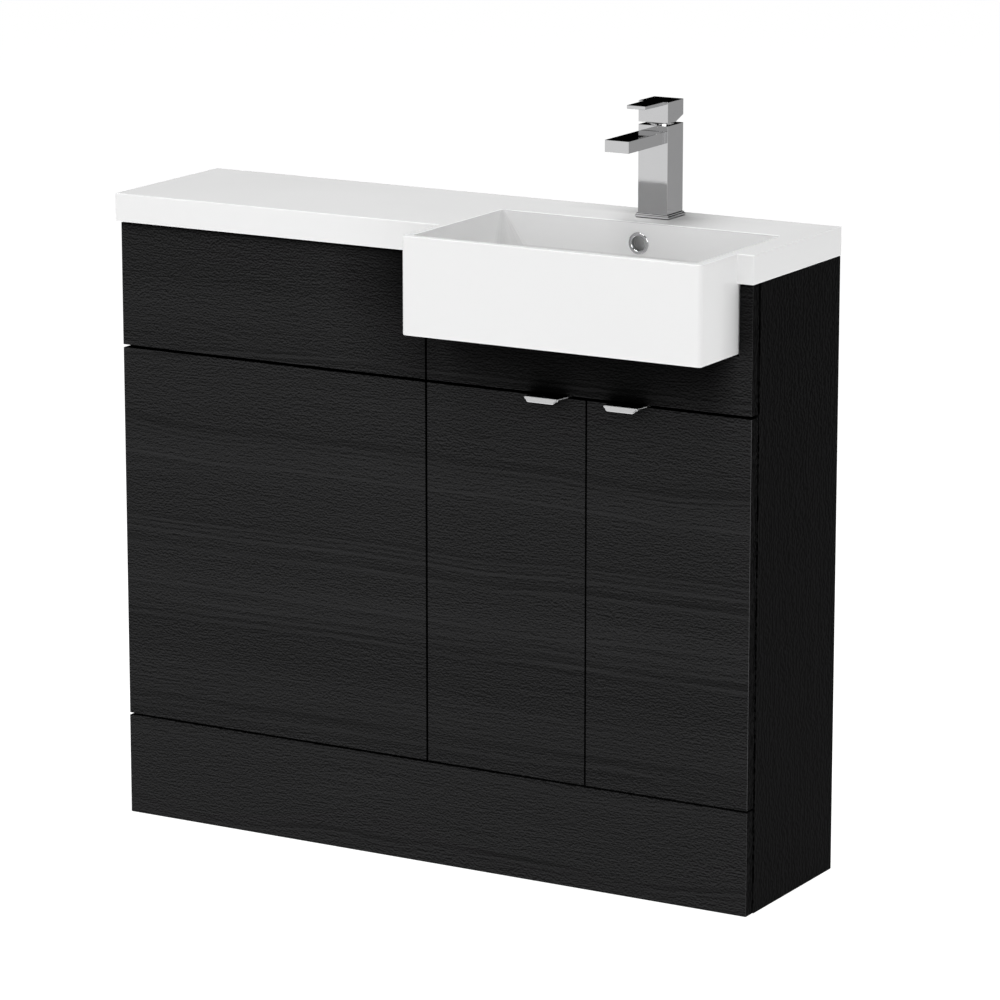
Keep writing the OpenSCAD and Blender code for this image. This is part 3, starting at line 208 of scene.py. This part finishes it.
class Graph:
    """A short way to write node trees. Most methods make one node and return its output."""

    def __init__(self, tree):
        self.tree = tree

    def node(self, kind, **settings):
        n = self.tree.nodes.new(kind)
        for key, value in settings.items():
            setattr(n, key, value)
        return n

    def put(self, value, socket):
        if isinstance(value, bpy.types.NodeSocket):
            self.tree.links.new(value, socket)
        else:
            socket.default_value = value

    def math(self, operation, a, b=0.0, clamp=False):
        n = self.node("ShaderNodeMath", operation=operation, use_clamp=clamp)
        self.put(a, n.inputs[0])
        self.put(b, n.inputs[1])
        return n.outputs[0]

    def add(self, a, b):
        return self.math("ADD", a, b)

    def sub(self, a, b):
        return self.math("SUBTRACT", a, b)

    def mul(self, a, b):
        return self.math("MULTIPLY", a, b)

    def clamp01(self, a):
        return self.math("ADD", a, 0.0, clamp=True)

    def split(self, vector):
        n = self.node("ShaderNodeSeparateXYZ")
        self.put(vector, n.inputs[0])
        return n.outputs[0], n.outputs[1], n.outputs[2]

    def join(self, x, y, z):
        n = self.node("ShaderNodeCombineXYZ")
        for i, v in enumerate((x, y, z)):
            self.put(v, n.inputs[i])
        return n.outputs[0]

    def noise(self, vector, scale, detail, rough):
        n = self.node("ShaderNodeTexNoise")
        self.put(vector, n.inputs["Vector"])
        self.put(scale, n.inputs["Scale"])
        self.put(detail, n.inputs["Detail"])
        self.put(rough, n.inputs["Roughness"])
        return n.outputs[0]

    def span(self, value, low, high, to_low=0.0, to_high=1.0):
        """The value carried from low..high to to_low..to_high, and held at its ends."""
        n = self.node("ShaderNodeMapRange")
        n.clamp = True
        for i, v in enumerate((value, low, high, to_low, to_high)):
            self.put(v, n.inputs[i])
        return n.outputs[0]

    def mix(self, amount, a, b):
        n = self.node("ShaderNodeMix", data_type="RGBA")
        self.put(amount, n.inputs[0])
        self.put(a, n.inputs[6])
        self.put(b, n.inputs[7])
        return n.outputs[2]

    def bump(self, height, distance, strength):
        n = self.node("ShaderNodeBump")
        self.put(height, n.inputs["Height"])
        self.put(distance, n.inputs["Distance"])
        self.put(strength, n.inputs["Strength"])
        return n.outputs[0]

    def curve(self, value, points):
        """The value looked up on a smooth curve through the points, which run from 0 to 1."""
        n = self.node("ShaderNodeFloatCurve")
        line = n.mapping.curves[0]
        for point, place in zip((line.points[0], line.points[1]), (points[0], points[-1])):
            point.location = place
        for x, y in points[1:-1]:
            line.points.new(x, y)
        for point in line.points:
            point.handle_type = "AUTO_CLAMPED"
        n.mapping.update()
        self.put(1.0, n.inputs["Factor"])
        self.put(value, n.inputs["Value"])
        return n.outputs[0]

    def group(self, tree, **values):
        n = self.node("ShaderNodeGroup")
        n.node_tree = tree
        for key, value in values.items():
            self.put(value, n.inputs[key.replace("_", " ")])
        return n.outputs

    def place(self):
        return self.node("ShaderNodeTexCoord").outputs["Object"]

    def facing(self):
        """The three parts of the direction that the surface faces, in the object's own axes."""
        return self.split(self.node("ShaderNodeTexCoord").outputs["Normal"])

    def nearness(self, reach, samples):
        """One in the open, and less where something stands within reach."""
        n = self.node("ShaderNodeAmbientOcclusion", samples=samples)
        n.inputs["Distance"].default_value = reach
        return n.outputs["AO"]


def new_group(name, inputs, outputs):
    """A shared node group with named inputs and outputs. Returns its graph, input and output nodes."""
    tree = bpy.data.node_groups.new(name, "ShaderNodeTree")
    for label, kind, value in inputs:
        s = tree.interface.new_socket(label, in_out="INPUT", socket_type=kind)
        if value is not None:
            s.default_value = value
    for label, kind in outputs:
        tree.interface.new_socket(label, in_out="OUTPUT", socket_type=kind)
    g = Graph(tree)
    return tree, g, g.node("NodeGroupInput").outputs, g.node("NodeGroupOutput").inputs


FLOAT, VECTOR = "NodeSocketFloat", "NodeSocketVector"


# Shared groups


def growth_lines(g, along, across):
    """The growth lines' marks at a place on the fronts, each line on its own curve."""
    lines = 0.0
    for path, marks in GROWTH_LINES:
        reach = max(abs(offset) for offset, strength in marks) + LINE_MARGIN
        middle = g.curve(g.add(along, CHART_LEFT),
                         [(CHART_LEFT + x / MILLIMETRES, z / MILLIMETRES) for x, z in path])
        away = g.clamp01(g.add(g.mul(g.sub(across, middle), MILLIMETRES / (2 * reach)), 0.5))
        peaks = [(0.5 + offset / (2 * reach), strength) for offset, strength in marks]
        peaks = [(0.0, 0.0)] + peaks + [(1.0, 0.0)]
        mark = g.curve(away, [(x, 0.5 + strength / MARK_SPAN) for x, strength in peaks])
        lines = g.add(lines, g.sub(mark, 0.5))
    return lines


def foil_grain_group():
    """Embossed woodgrain foil: fine dashes along the grain, slow zones and growth lines."""
    tree, g, i, o = new_group("foil grain", [
        ("Along", FLOAT, 0.0), ("Across", FLOAT, 0.0), ("Depth", FLOAT, 0.0), ("Seed", FLOAT, 0.0),
        ("Lines", FLOAT, 1.0)], [("Tone", FLOAT), ("Height", FLOAT)])
    u, v, w = i["Along"], i["Across"], i["Depth"]
    seed = g.mul(i["Seed"], 3.7)

    def streaks(steps, across, shift, detail, rough=0.5):
        return g.noise(g.join(g.mul(u, steps[0]), g.mul(across, steps[1]), shift), 1.0, detail, rough)

    slow = g.sub(streaks(SLOW_BEND, v, seed, 2.0), 0.5)
    quick = g.sub(streaks(QUICK_BEND, v, g.add(seed, 5.0), 2.0), 0.5)
    bent = g.add(v, g.add(g.mul(slow, SLOW_BEND_BY), g.mul(quick, QUICK_BEND_BY)))

    def dashes(steps, shift):
        # The step from one place to the next across the grain keeps only the fine dashes
        depth = g.add(g.mul(w, DASH_DEPTH), shift)
        here, there = (streaks(steps, g.add(bent, step), depth, 0.0) for step in (0.0, DASH_STEP))
        return g.sub(here, there)

    ticks = g.add(dashes(SHORT_DASHES, 0.0), g.mul(dashes(LONG_DASHES, 40.0), LONG_DASH_SHARE))
    hairs = streaks(HAIRS, bent, g.add(seed, g.mul(w, 9.0)), 1.0)
    groups = g.span(streaks(HAIR_GROUPS, bent, g.add(seed, 9.0), 1.0), *HAIR_GROUPS_AT)
    broad = streaks(BROAD_BANDS, bent, seed, 3.0, 0.6)
    fade = g.span(streaks(LINE_FADE, v, g.add(seed, 3.0), 1.0), *LINE_FADE_AT, *LINE_FADE_TO)
    lines = g.mul(g.mul(growth_lines(g, u, v), fade), i["Lines"])
    zones = g.curve(v, [(z / MILLIMETRES, 0.5 + strength / MARK_SPAN) for z, strength in ZONES])
    zones = g.mul(g.sub(zones, 0.5), i["Lines"])
    calm = g.sub(1.0, g.mul(g.clamp01(g.mul(g.math("ABSOLUTE", lines), 5.0)), LINE_CALM))
    fine = g.mul(g.mul(ticks, DASH_STRENGTH), calm)
    pale = g.mul(g.span(hairs, *PALE_HAIR_AT), g.mul(groups, PALE_HAIR))
    dim = g.mul(g.span(hairs, *DIM_HAIR_AT), g.mul(groups, DIM_HAIR))
    tone = g.add(0.5, g.add(fine, g.mul(g.sub(broad, 0.5), BROAD_STRENGTH)))
    tone = g.add(tone, g.sub(pale, dim))
    tone = g.add(tone, g.add(g.mul(zones, ZONE_STRENGTH), g.mul(lines, LINE_STRENGTH)))
    g.put(g.clamp01(tone), o["Tone"])
    g.put(g.add(g.mul(ticks, 2.0), g.add(g.mul(hairs, 0.3), g.mul(lines, 0.2))), o["Height"])
    return tree


def soft_variation_group():
    """Slow and fine variation for plain surfaces, used for roughness and slight unevenness."""
    tree, g, i, o = new_group("surface variation", [
        ("Vector", VECTOR, None), ("Slow Scale", FLOAT, 6.0), ("Fine Scale", FLOAT, 400.0)],
        [("Slow", FLOAT), ("Fine", FLOAT)])
    g.put(g.noise(i["Vector"], i["Slow Scale"], 3.0, 0.5), o["Slow"])
    g.put(g.noise(i["Vector"], i["Fine Scale"], 2.0, 0.5), o["Fine"])
    return tree


def brushed_group():
    """Fine scratches along one direction, for rolled and machined metal."""
    tree, g, i, o = new_group("brushed metal", [
        ("Vector", VECTOR, None), ("Along Scale", FLOAT, 40.0), ("Across Scale", FLOAT, 2400.0)],
        [("Scratch", FLOAT), ("Smudge", FLOAT)])
    x, y, z = g.split(i["Vector"])
    scratch = g.noise(g.join(g.mul(x, i["Along Scale"]), g.mul(y, i["Across Scale"]),
                             g.mul(z, i["Across Scale"])), 1.0, 3.0, 0.65)
    g.put(scratch, o["Scratch"])
    g.put(g.noise(i["Vector"], 22.0, 3.0, 0.55), o["Smudge"])
    return tree


GRAIN = foil_grain_group()
VARIATION = soft_variation_group()
BRUSHED = brushed_group()


# Materials


def plain_material(name):
    """A material with no shader yet. Returns the material, its graph and the surface to fill."""
    m = bpy.data.materials.new(name)
    m.use_nodes = True
    m.node_tree.nodes.clear()
    g = Graph(m.node_tree)
    return m, g, g.node("ShaderNodeOutputMaterial").inputs["Surface"]


def material(name):
    """A material with a Principled shader. Returns the material, its graph and the shader's inputs."""
    m, g, surface = plain_material(name)
    shader = g.node("ShaderNodeBsdfPrincipled")
    g.put(shader.outputs[0], surface)
    return m, g, shader.inputs


def grey(value):
    return (value, value, value, 1.0)


def basin_shade(g, axes):
    """The share of light that is left on foil near the basin, and one away from it."""
    power = g.span(axes["X"], *RIGHT_SHADE_X, SHADE_POWER, RIGHT_SHADE_POWER)
    power = g.mul(power, g.span(axes["X"], *LEFT_SHADE_X, LEFT_SHADE, 1.0))
    power = g.mul(power, g.span(axes["Z"], DOOR_LINE_Z - DOOR_LINE_BLUR, DOOR_LINE_Z + DOOR_LINE_BLUR,
                                DOOR_SHADE, 1.0))
    shade = g.math("POWER", g.nearness(SHADE_REACH, SHADE_SAMPLES), power)
    return g.sub(1.0, g.mul(g.span(axes["Z"], *SHADE_Z), g.sub(1.0, shade)))


def foil_material(name, along, across, tones, ior, seed, lines=0.0, contrast=1.0, side_edges=False):
    """Charcoal woodgrain foil. along and across name the axes that the grain runs and stacks on.
    With side_edges, the left and right edges take the sides' finish, whose grain runs upright."""
    m, g, s = material(name)
    axes = dict(zip("XYZ", g.split(g.place())))
    rest = next(axis for axis in "XYZ" if axis not in (along, across))
    u, v, w = axes[along], axes[across], axes[rest]
    low, high = tones
    if along == "Z":
        u, v = g.mul(u, SIDE_GRAIN[0]), g.mul(v, SIDE_GRAIN[1])
    elif across == "Y":
        # The shelf's grain runs on over its front edge
        v, w = g.add(v, w), 0.0
    if side_edges:
        nx, ny = g.facing()[:2]
        edge = g.span(g.math("ABSOLUTE", nx), *EDGE_FACING)
        flat = g.sub(1.0, edge)
        outer = g.math("GREATER_THAN", g.mul(g.math("SIGN", nx), axes["X"]), OUTER_X)
        u = g.add(g.mul(axes["X"], flat), g.mul(axes["Z"], g.mul(edge, SIDE_GRAIN[0])))
        v = g.add(g.mul(axes["Z"], flat), g.mul(axes["Y"], g.mul(edge, SIDE_GRAIN[1])))
        low = g.add(g.mul(flat, low), g.mul(edge, SIDE_TONE[0]))
        high = g.add(g.mul(flat, high), g.mul(edge, SIDE_TONE[1]))
        ior = g.add(g.mul(flat, ior), g.mul(edge, SIDE_IOR))
        edge_contrast = g.add(INNER_CONTRAST, g.mul(outer, SIDE_CONTRAST - INNER_CONTRAST))
        contrast = g.add(flat, g.mul(edge, edge_contrast))
    tone, height = g.group(GRAIN, Along=u, Across=v, Depth=w, Seed=seed, Lines=lines)
    tone = g.clamp01(g.add(g.mul(g.sub(tone, 0.5), contrast), 0.5))
    value = g.add(low, g.mul(tone, g.sub(high, low)))
    if side_edges:
        # Painted highlight: the line where the foil turns round an outermost upright edge is made paler
        turn = g.span(g.math("ABSOLUTE", g.mul(nx, ny)), *TURN_FACING)
        value = g.add(value, g.mul(g.mul(turn, outer), EDGE_HIGHLIGHT))
    shade = basin_shade(g, axes)
    value = g.mul(value, shade)
    g.put(g.join(value, value, g.mul(value, FOIL_BLUE)), s["Base Color"])
    g.put(g.add(FOIL_ROUGHNESS, g.mul(tone, FOIL_ROUGHNESS_RISE)), s["Roughness"])
    g.put(ior, s["IOR"])
    g.put(g.mul(shade, 0.5), s["Specular IOR Level"])
    g.put(g.bump(height, EMBOSS_DEPTH, EMBOSS_STRENGTH), s["Normal"])
    return m


def chipboard_material(name):
    """Plain dark lacquered board, for the rails and the back panel."""
    m, g, s = material(name)
    slow, fine = g.group(VARIATION, Vector=g.place(), Slow_Scale=9.0, Fine_Scale=650.0)
    speckle = g.add(g.mul(fine, 0.7), g.mul(slow, 0.3))
    g.put(g.mix(speckle, grey(BOARD_TONES[0]), grey(BOARD_TONES[1])), s["Base Color"])
    s["Roughness"].default_value = BOARD_ROUGHNESS
    s["Specular IOR Level"].default_value = BOARD_GLOSS
    g.put(g.bump(fine, BOARD_RELIEF, 0.4), s["Normal"])
    return m


def within(g, axes, box):
    """One inside the box, whose sides are given as (low, high) for x, y and z, and zero outside."""
    inside = 1.0
    for axis, (low, high) in zip(axes, box):
        inside = g.mul(inside, g.mul(g.math("GREATER_THAN", axis, low), g.math("LESS_THAN", axis, high)))
    return inside


def bowl_painted_shading(g, axes, inside, ny, nz):
    """Painted shade and light inside the bowl: what its depth and slopes add to the resin's tone there,
    and zero elsewhere.
    """
    floor_z, wall_z, brink_z = (RIM_Z - depth for depth in BOWL_DEPTHS)
    deep = g.span(axes[2], floor_z, wall_z, BOWL_SHADING_TONES[0], BOWL_SHADING_TONES[1])
    deep = g.mul(deep, g.span(axes[2], wall_z, brink_z, 1.0, BOWL_SHADING_TONES[2]))
    slope_shade = g.span(axes[2], RIM_Z - SLOPE_DEPTHS[0], RIM_Z - SLOPE_DEPTHS[1], *SLOPE_SHADE_TONES)
    slope = g.span(nz, *SLOPE_FACING, 1.0, slope_shade)
    front_wall = g.span(ny, *FRONT_WALL_FACING, 1.0, FRONT_WALL_SHADE)
    return g.mul(inside, g.sub(g.mul(deep, g.mul(slope, front_wall)), 1.0))


def tap_foot_shadow(g, axes):
    """Painted shadow of the tap: what it takes from the tone of the worktop's top at its foot, and zero
    elsewhere.
    """
    foot = g.span(g.nearness(TAP_REACH, TAP_SAMPLES), *TAP_SHADOW_AT, TAP_SHADOW_TONE, 1.0)
    side = g.math("MAXIMUM", g.span(axes[0], *TAP_SHADE_X), g.span(axes[1], *TAP_SHADE_Y))
    return g.mul(g.mul(within(g, axes, TAP_BOX), side), g.sub(foot, 1.0))


def resin_material(name):
    """Cast mineral resin with a gloss white coat: even, with a slight haze in its gloss. Painted shade
    and light change the inside of the bowl, painted shade dims the top faces, and a painted shadow lies
    round the foot of the tap."""
    m, g, s = material(name)
    place = g.place()
    slow, fine = g.group(VARIATION, Vector=place, Slow_Scale=5.0, Fine_Scale=260.0)
    axes = g.split(place)
    ny, nz = g.facing()[1:]
    inside = within(g, axes, BOWL_BOX)
    top = g.mul(g.math("GREATER_THAN", axes[2], RIM_Z - TOP_SKIN), g.span(nz, *TOP_FACING))
    tone = g.add(1.0, g.add(bowl_painted_shading(g, axes, inside, ny, nz), tap_foot_shadow(g, axes)))
    # Painted shade: the top faces are given a darker colour
    tone = g.mul(tone, g.sub(1.0, g.mul(top, 1.0 - TOP_PAINTED_SHADE)))
    value = g.mul(g.add(RESIN_GREY, g.mul(slow, RESIN_GREY_RISE)), tone)
    g.put(g.join(value, value, value), s["Base Color"])
    haze = g.add(g.mul(slow, RESIN_ROUGHNESS_SLOW), g.mul(fine, RESIN_ROUGHNESS_FINE))
    g.put(g.add(RESIN_ROUGHNESS, haze), s["Roughness"])
    s["IOR"].default_value = RESIN_IOR
    dull = g.mul(inside, g.span(nz, *BOWL_DULL_FACING, 0.0, BOWL_DULL))
    dull = g.add(dull, g.mul(top, RESIN_GLOSS - TOP_GLOSS))
    g.put(g.sub(RESIN_GLOSS, dull), s["Specular IOR Level"])
    g.put(g.bump(fine, RESIN_RELIEF, RESIN_RELIEF_STRENGTH), s["Normal"])
    return m


def chrome_material(name, value, low_angle=0.57, haze=0.035, cut_edges=1.0):
    """Polished or satin chrome, faintly smudged. low_angle dims what it mirrors at a low angle,
    and cut_edges below one makes the left and right edges of a sheet matt."""
    m, g, s = material(name)
    slow, fine = g.group(VARIATION, Vector=g.place(), Slow_Scale=55.0, Fine_Scale=900.0)
    s["Metallic"].default_value = 1.0
    if cut_edges < 1.0:
        nx = g.facing()[0]
        g.put(g.span(g.math("ABSOLUTE", nx), *CHROME_EDGE_FACING, 1.0, cut_edges), s["Metallic"])
    s["Specular Tint"].default_value = grey(low_angle)
    low, high = (tuple(value * t for t in tint) + (1.0,) for tint in CHROME_TINTS)
    g.put(g.mix(slow, low, high), s["Base Color"])
    g.put(g.add(haze, g.add(g.mul(slow, 0.03), g.mul(fine, 0.012))), s["Roughness"])
    return m


def plated_material(name, value, roughness, tint=(1.0, 1.0, 1.0)):
    """Plated or turned metal with fine scratches along its length."""
    m, g, s = material(name)
    scratch, smudge = g.group(BRUSHED, Vector=g.place())
    low, high = (tuple(value * shade * t for t in tint) + (1.0,) for shade in METAL_SHADES)
    s["Metallic"].default_value = 1.0
    g.put(g.mix(g.add(g.mul(scratch, 0.6), g.mul(smudge, 0.4)), low, high), s["Base Color"])
    g.put(g.add(roughness, g.mul(scratch, METAL_SCRATCH)), s["Roughness"])
    g.put(g.bump(scratch, METAL_RELIEF, 0.3), s["Normal"])
    return m


def moulded_material(name, value, roughness):
    """Moulded rubber or plastic with a fine matt texture."""
    m, g, s = material(name)
    slow, fine = g.group(VARIATION, Vector=g.place(), Slow_Scale=40.0, Fine_Scale=1500.0)
    low, high = (grey(value * shade) for shade in MOULDED_SHADES)
    g.put(g.mix(fine, low, high), s["Base Color"])
    g.put(g.add(roughness, g.mul(slow, 0.12)), s["Roughness"])
    s["Specular IOR Level"].default_value = MOULDED_GLOSS
    g.put(g.bump(fine, MOULDED_RELIEF, 0.4), s["Normal"])
    return m


def beech_material(name):
    """Turned beech, with grain along the dowel."""
    m, g, s = material(name)
    steps = (g.mul(axis, grain) for axis, grain in zip(g.split(g.place()), BEECH_GRAIN))
    fibres = g.noise(g.join(*steps), 1.0, 3.0, 0.6)
    g.put(g.mix(fibres, *BEECH_TONES), s["Base Color"])
    s["Roughness"].default_value = BEECH_ROUGHNESS
    g.put(g.bump(fibres, BEECH_RELIEF, 0.4), s["Normal"])
    return m


FRONT_FOIL = foil_material("front foil", "X", "Z", FRONT_TONE, FRONT_IOR, seed=0.0, lines=1.0,
                           side_edges=True)
SIDE_FOIL = foil_material("side foil", "Z", "Y", SIDE_TONE, SIDE_IOR, seed=1.0, contrast=SIDE_CONTRAST)
SHELF_FOIL = foil_material("shelf foil", "X", "Y", SHELF_TONE, FRONT_IOR, seed=2.0)
INNER_BOARD = chipboard_material("inner board")
RESIN = resin_material("white resin")
CHROME = chrome_material("polished chrome", value=0.535)
HANDLE_CHROME = chrome_material("satin chrome", value=0.62, low_angle=0.6, haze=0.10, cut_edges=0.35)
STEEL = plated_material("plated steel", value=0.52, roughness=0.28)
BRASS = plated_material("turned brass", value=0.62, roughness=0.26, tint=(1.0, 0.78, 0.42))
BLACK_PLASTIC = moulded_material("black plastic", value=0.03, roughness=0.45)
RUBBER = moulded_material("rubber", value=0.02, roughness=0.7)
BEECH = beech_material("beech")

FINISHES = {
    FRONT_FOIL: ["wc_upper_fascia", "wc_lower_fascia", "vanity_upper_fascia", "door_left",
                 "door_right", "plinth_panel"],
    SIDE_FOIL: ["wc_side_left", "wc_side_right", "vanity_side_left", "vanity_side_right"],
    SHELF_FOIL: ["shelf", "base_panel"],
    INNER_BOARD: ["back_panel", "wc_back_rail", "wc_top_rail", "wc_mid_rail", "wc_base_rail",
                  "vanity_back_rail", "vanity_front_rail"],
    RESIN: ["basin_worktop"],
    CHROME: ["overflow_ring", "waste_body", "waste_plug", "tap_body", "tap_base", "tap_aerator",
             "cartridge_collar", "lever_head"],
    HANDLE_CHROME: ["handle_left", "handle_right"],
    STEEL: ["shelf_pins", "cabinet_connectors", "connector_bolts", "handle_screws_left",
            "handle_screws_right", "hinge_plates", "hinge_plate_screws", "hinge_arms",
            "hinge_arm_pins", "hinge_links_left", "hinge_links_right", "hinge_cups_left",
            "hinge_cups_right", "hinge_cup_pins_left", "hinge_cup_pins_right", "tap_spindle",
            "lever_pin", "lever_grub_screw"],
    BRASS: ["waste_backnut", "tap_shank", "tap_backnut"],
    BLACK_PLASTIC: ["fascia_clips", "tap_cartridge"],
    RUBBER: ["door_buffers_left", "door_buffers_right", "waste_flange_seal", "waste_cone_washer",
             "tap_base_seal"],
    BEECH: ["wc_dowels", "vanity_dowels"],
}


def finish_nodes():
    """Gives every construction node its material."""
    done = set()
    for mat, names in FINISHES.items():
        for name in names:
            slots = NODES[name].data.materials
            slots.clear()
            slots.append(mat)
            done.add(name)
    left = sorted(set(NODES) - done)
    if left:
        raise ValueError(f"nodes with no finish: {left}")


def round_edges(name, width, steps):
    """Joins split corners, rounds the sharp edges and evens out the shading."""
    o = NODES[name]
    weld = o.modifiers.new("join corners", "WELD")
    weld.merge_threshold = WELD_REACH
    if name in FLATTEN:
        flat = o.modifiers.new("join flat faces", "DECIMATE")
        flat.decimate_type = "DISSOLVE"
        flat.angle_limit = FLAT_ANGLE
    bevel = o.modifiers.new("round edges", "BEVEL")
    bevel.width = width
    bevel.segments = steps
    bevel.limit_method = "ANGLE"
    bevel.angle_limit = SHARP_ANGLE
    bevel.use_clamp_overlap = False
    bevel.miter_outer = "MITER_ARC"
    bevel.harden_normals = True
    even = o.modifiers.new("even shading", "WEIGHTED_NORMAL")
    even.keep_sharp = True


# Stage


def make_camera():
    """Looks at the unit from the photograph's side."""
    azimuth, elevation = math.radians(CAMERA_AZIMUTH), math.radians(CAMERA_ELEVATION)
    back = Vector((math.sin(azimuth) * math.cos(elevation), -math.cos(azimuth) * math.cos(elevation),
                   math.sin(elevation)))
    data = bpy.data.cameras.new("camera")
    data.sensor_width = CAMERA_SENSOR
    data.lens = CAMERA_LENS
    data.clip_start, data.clip_end = CAMERA_NEAR, CAMERA_FAR
    camera = bpy.data.objects.new("camera", data)
    camera.location = CAMERA_PLACE
    camera.rotation_mode = "QUATERNION"
    camera.rotation_quaternion = (-back).to_track_quat("-Z", "Y")
    bpy.context.scene.collection.objects.link(camera)
    bpy.context.scene.camera = camera


def aim(obj, place, target):
    """Puts an object in its place, turned to the target."""
    obj.location = place
    obj.rotation_mode = "QUATERNION"
    obj.rotation_quaternion = (Vector(target) - Vector(place)).to_track_quat("-Z", "Y")


def area_light(name, place, target, size, watts):
    """A soft light that mirrors and gloss don't show."""
    data = bpy.data.lights.new(name, "AREA")
    data.shape = "RECTANGLE"
    data.size, data.size_y = size
    data.energy = watts
    o = bpy.data.objects.new(name, data)
    aim(o, place, target)
    o.visible_glossy = False
    bpy.context.scene.collection.objects.link(o)


def sheet(name, size, mat):
    """A flat rectangle round its own middle."""
    w, h = size[0] / 2, size[1] / 2
    mesh = bpy.data.meshes.new(name)
    mesh.from_pydata([(-w, -h, 0), (w, -h, 0), (w, h, 0), (-w, h, 0)], [], [(0, 1, 2, 3)])
    mesh.materials.append(mat)
    o = bpy.data.objects.new(name, mesh)
    bpy.context.scene.collection.objects.link(o)
    return o


def card(name, place, target, size, strength):
    """A reflector that only mirrors and gloss see."""
    mat, g, surface = plain_material(name)
    glow = g.node("ShaderNodeEmission")
    glow.inputs["Color"].default_value = grey(1.0)
    glow.inputs["Strength"].default_value = strength
    g.put(glow.outputs[0], surface)
    o = sheet(name, size, mat)
    aim(o, place, target)
    o.visible_camera = False
    o.visible_diffuse = False
    o.visible_shadow = False
    o.visible_transmission = False


def make_floor():
    """A pale floor that stays white away from the object and keeps a soft contact shadow."""
    mat, g, surface = plain_material("pale floor")
    soft = g.node("ShaderNodeBsdfDiffuse")
    soft.inputs["Color"].default_value = grey(FLOOR_GREY)
    glow = g.node("ShaderNodeEmission")
    rays = g.node("ShaderNodeLightPath").outputs
    looked_at = g.math("MAXIMUM", rays["Is Camera Ray"], rays["Is Glossy Ray"])
    g.put(g.add(FLOOR_GLOW, g.mul(looked_at, FLOOR_SEEN - FLOOR_GLOW)), glow.inputs["Strength"])
    both = g.node("ShaderNodeAddShader")
    g.put(soft.outputs[0], both.inputs[0])
    g.put(glow.outputs[0], both.inputs[1])
    g.put(both.outputs[0], surface)
    o = sheet("floor", (FLOOR_SIZE, FLOOR_SIZE), mat)
    o.location.z = -FLOOR_DROP


def make_world():
    """White where the camera looks past the object, dark in mirrors, soft grey as light."""
    world = bpy.data.worlds.new("world")
    bpy.context.scene.world = world
    world.use_nodes = True
    world.node_tree.nodes.clear()
    g = Graph(world.node_tree)
    rays = g.node("ShaderNodeLightPath").outputs

    def backdrop(value):
        n = g.node("ShaderNodeBackground")
        n.inputs["Color"].default_value = grey(value)
        return n.outputs[0]

    def choose(ray, other, chosen):
        n = g.node("ShaderNodeMixShader")
        g.put(rays[ray], n.inputs[0])
        g.put(other, n.inputs[1])
        g.put(chosen, n.inputs[2])
        return n.outputs[0]

    unseen = choose("Is Glossy Ray", backdrop(WORLD_AMBIENT), backdrop(WORLD_GLOSS))
    seen = choose("Is Camera Ray", unseen, backdrop(WORLD_SEEN))
    g.put(seen, g.node("ShaderNodeOutputWorld").inputs["Surface"])


def make_lights():
    """Each has its name, place, target, size, and watts or a card's strength."""
    area_light("front light", (0.6, -4.4, 2.4), UNIT_MIDDLE, (2.6, 2.2), 14.4)
    area_light("front left light", (-1.6, -4.6, 1.5), UNIT_MIDDLE, (2.6, 2.2), 15.7)
    area_light("top light", (0.0, -0.3, 4.4), UNIT_MIDDLE, (2.6, 2.0), 133.0)
    area_light("top back light", (-0.4, 1.6, 4.2), UNIT_MIDDLE, (2.6, 2.0), 25.7)
    card("front left card", (-3.2, -5.4, 0.9), (0.0, 0.0, 0.9), (7.0, 5.0), 1.015)
    card("back right card", (2.9, 4.6, 0.2), (0.3, 0.1, 0.9), (5.6, 2.2), 0.53)
    area_light("right light", (4.0, -0.7, 1.2), (0.3, 0.0, 0.8), (1.6, 1.6), 5.0)
    card("low right card", (3.68, -2.35, 2.5), BOWL_BACK, (2.6, 2.6), 11.0)
    card("high front card", (0.15, -1.5, 4.55), BOWL_BACK, (2.6, 2.6), 11.0)
    card("high left card", (-2.24, -3.39, 3.55), (0.2, -0.1, 0.68), (2.6, 2.4), 0.84)


finish_nodes()
for node_name, (width, steps) in ROUNDING.items():
    round_edges(node_name, width, steps)
make_camera()
make_floor()
make_world()
make_lights()
bpy.context.scene.view_settings.view_transform = "Standard"
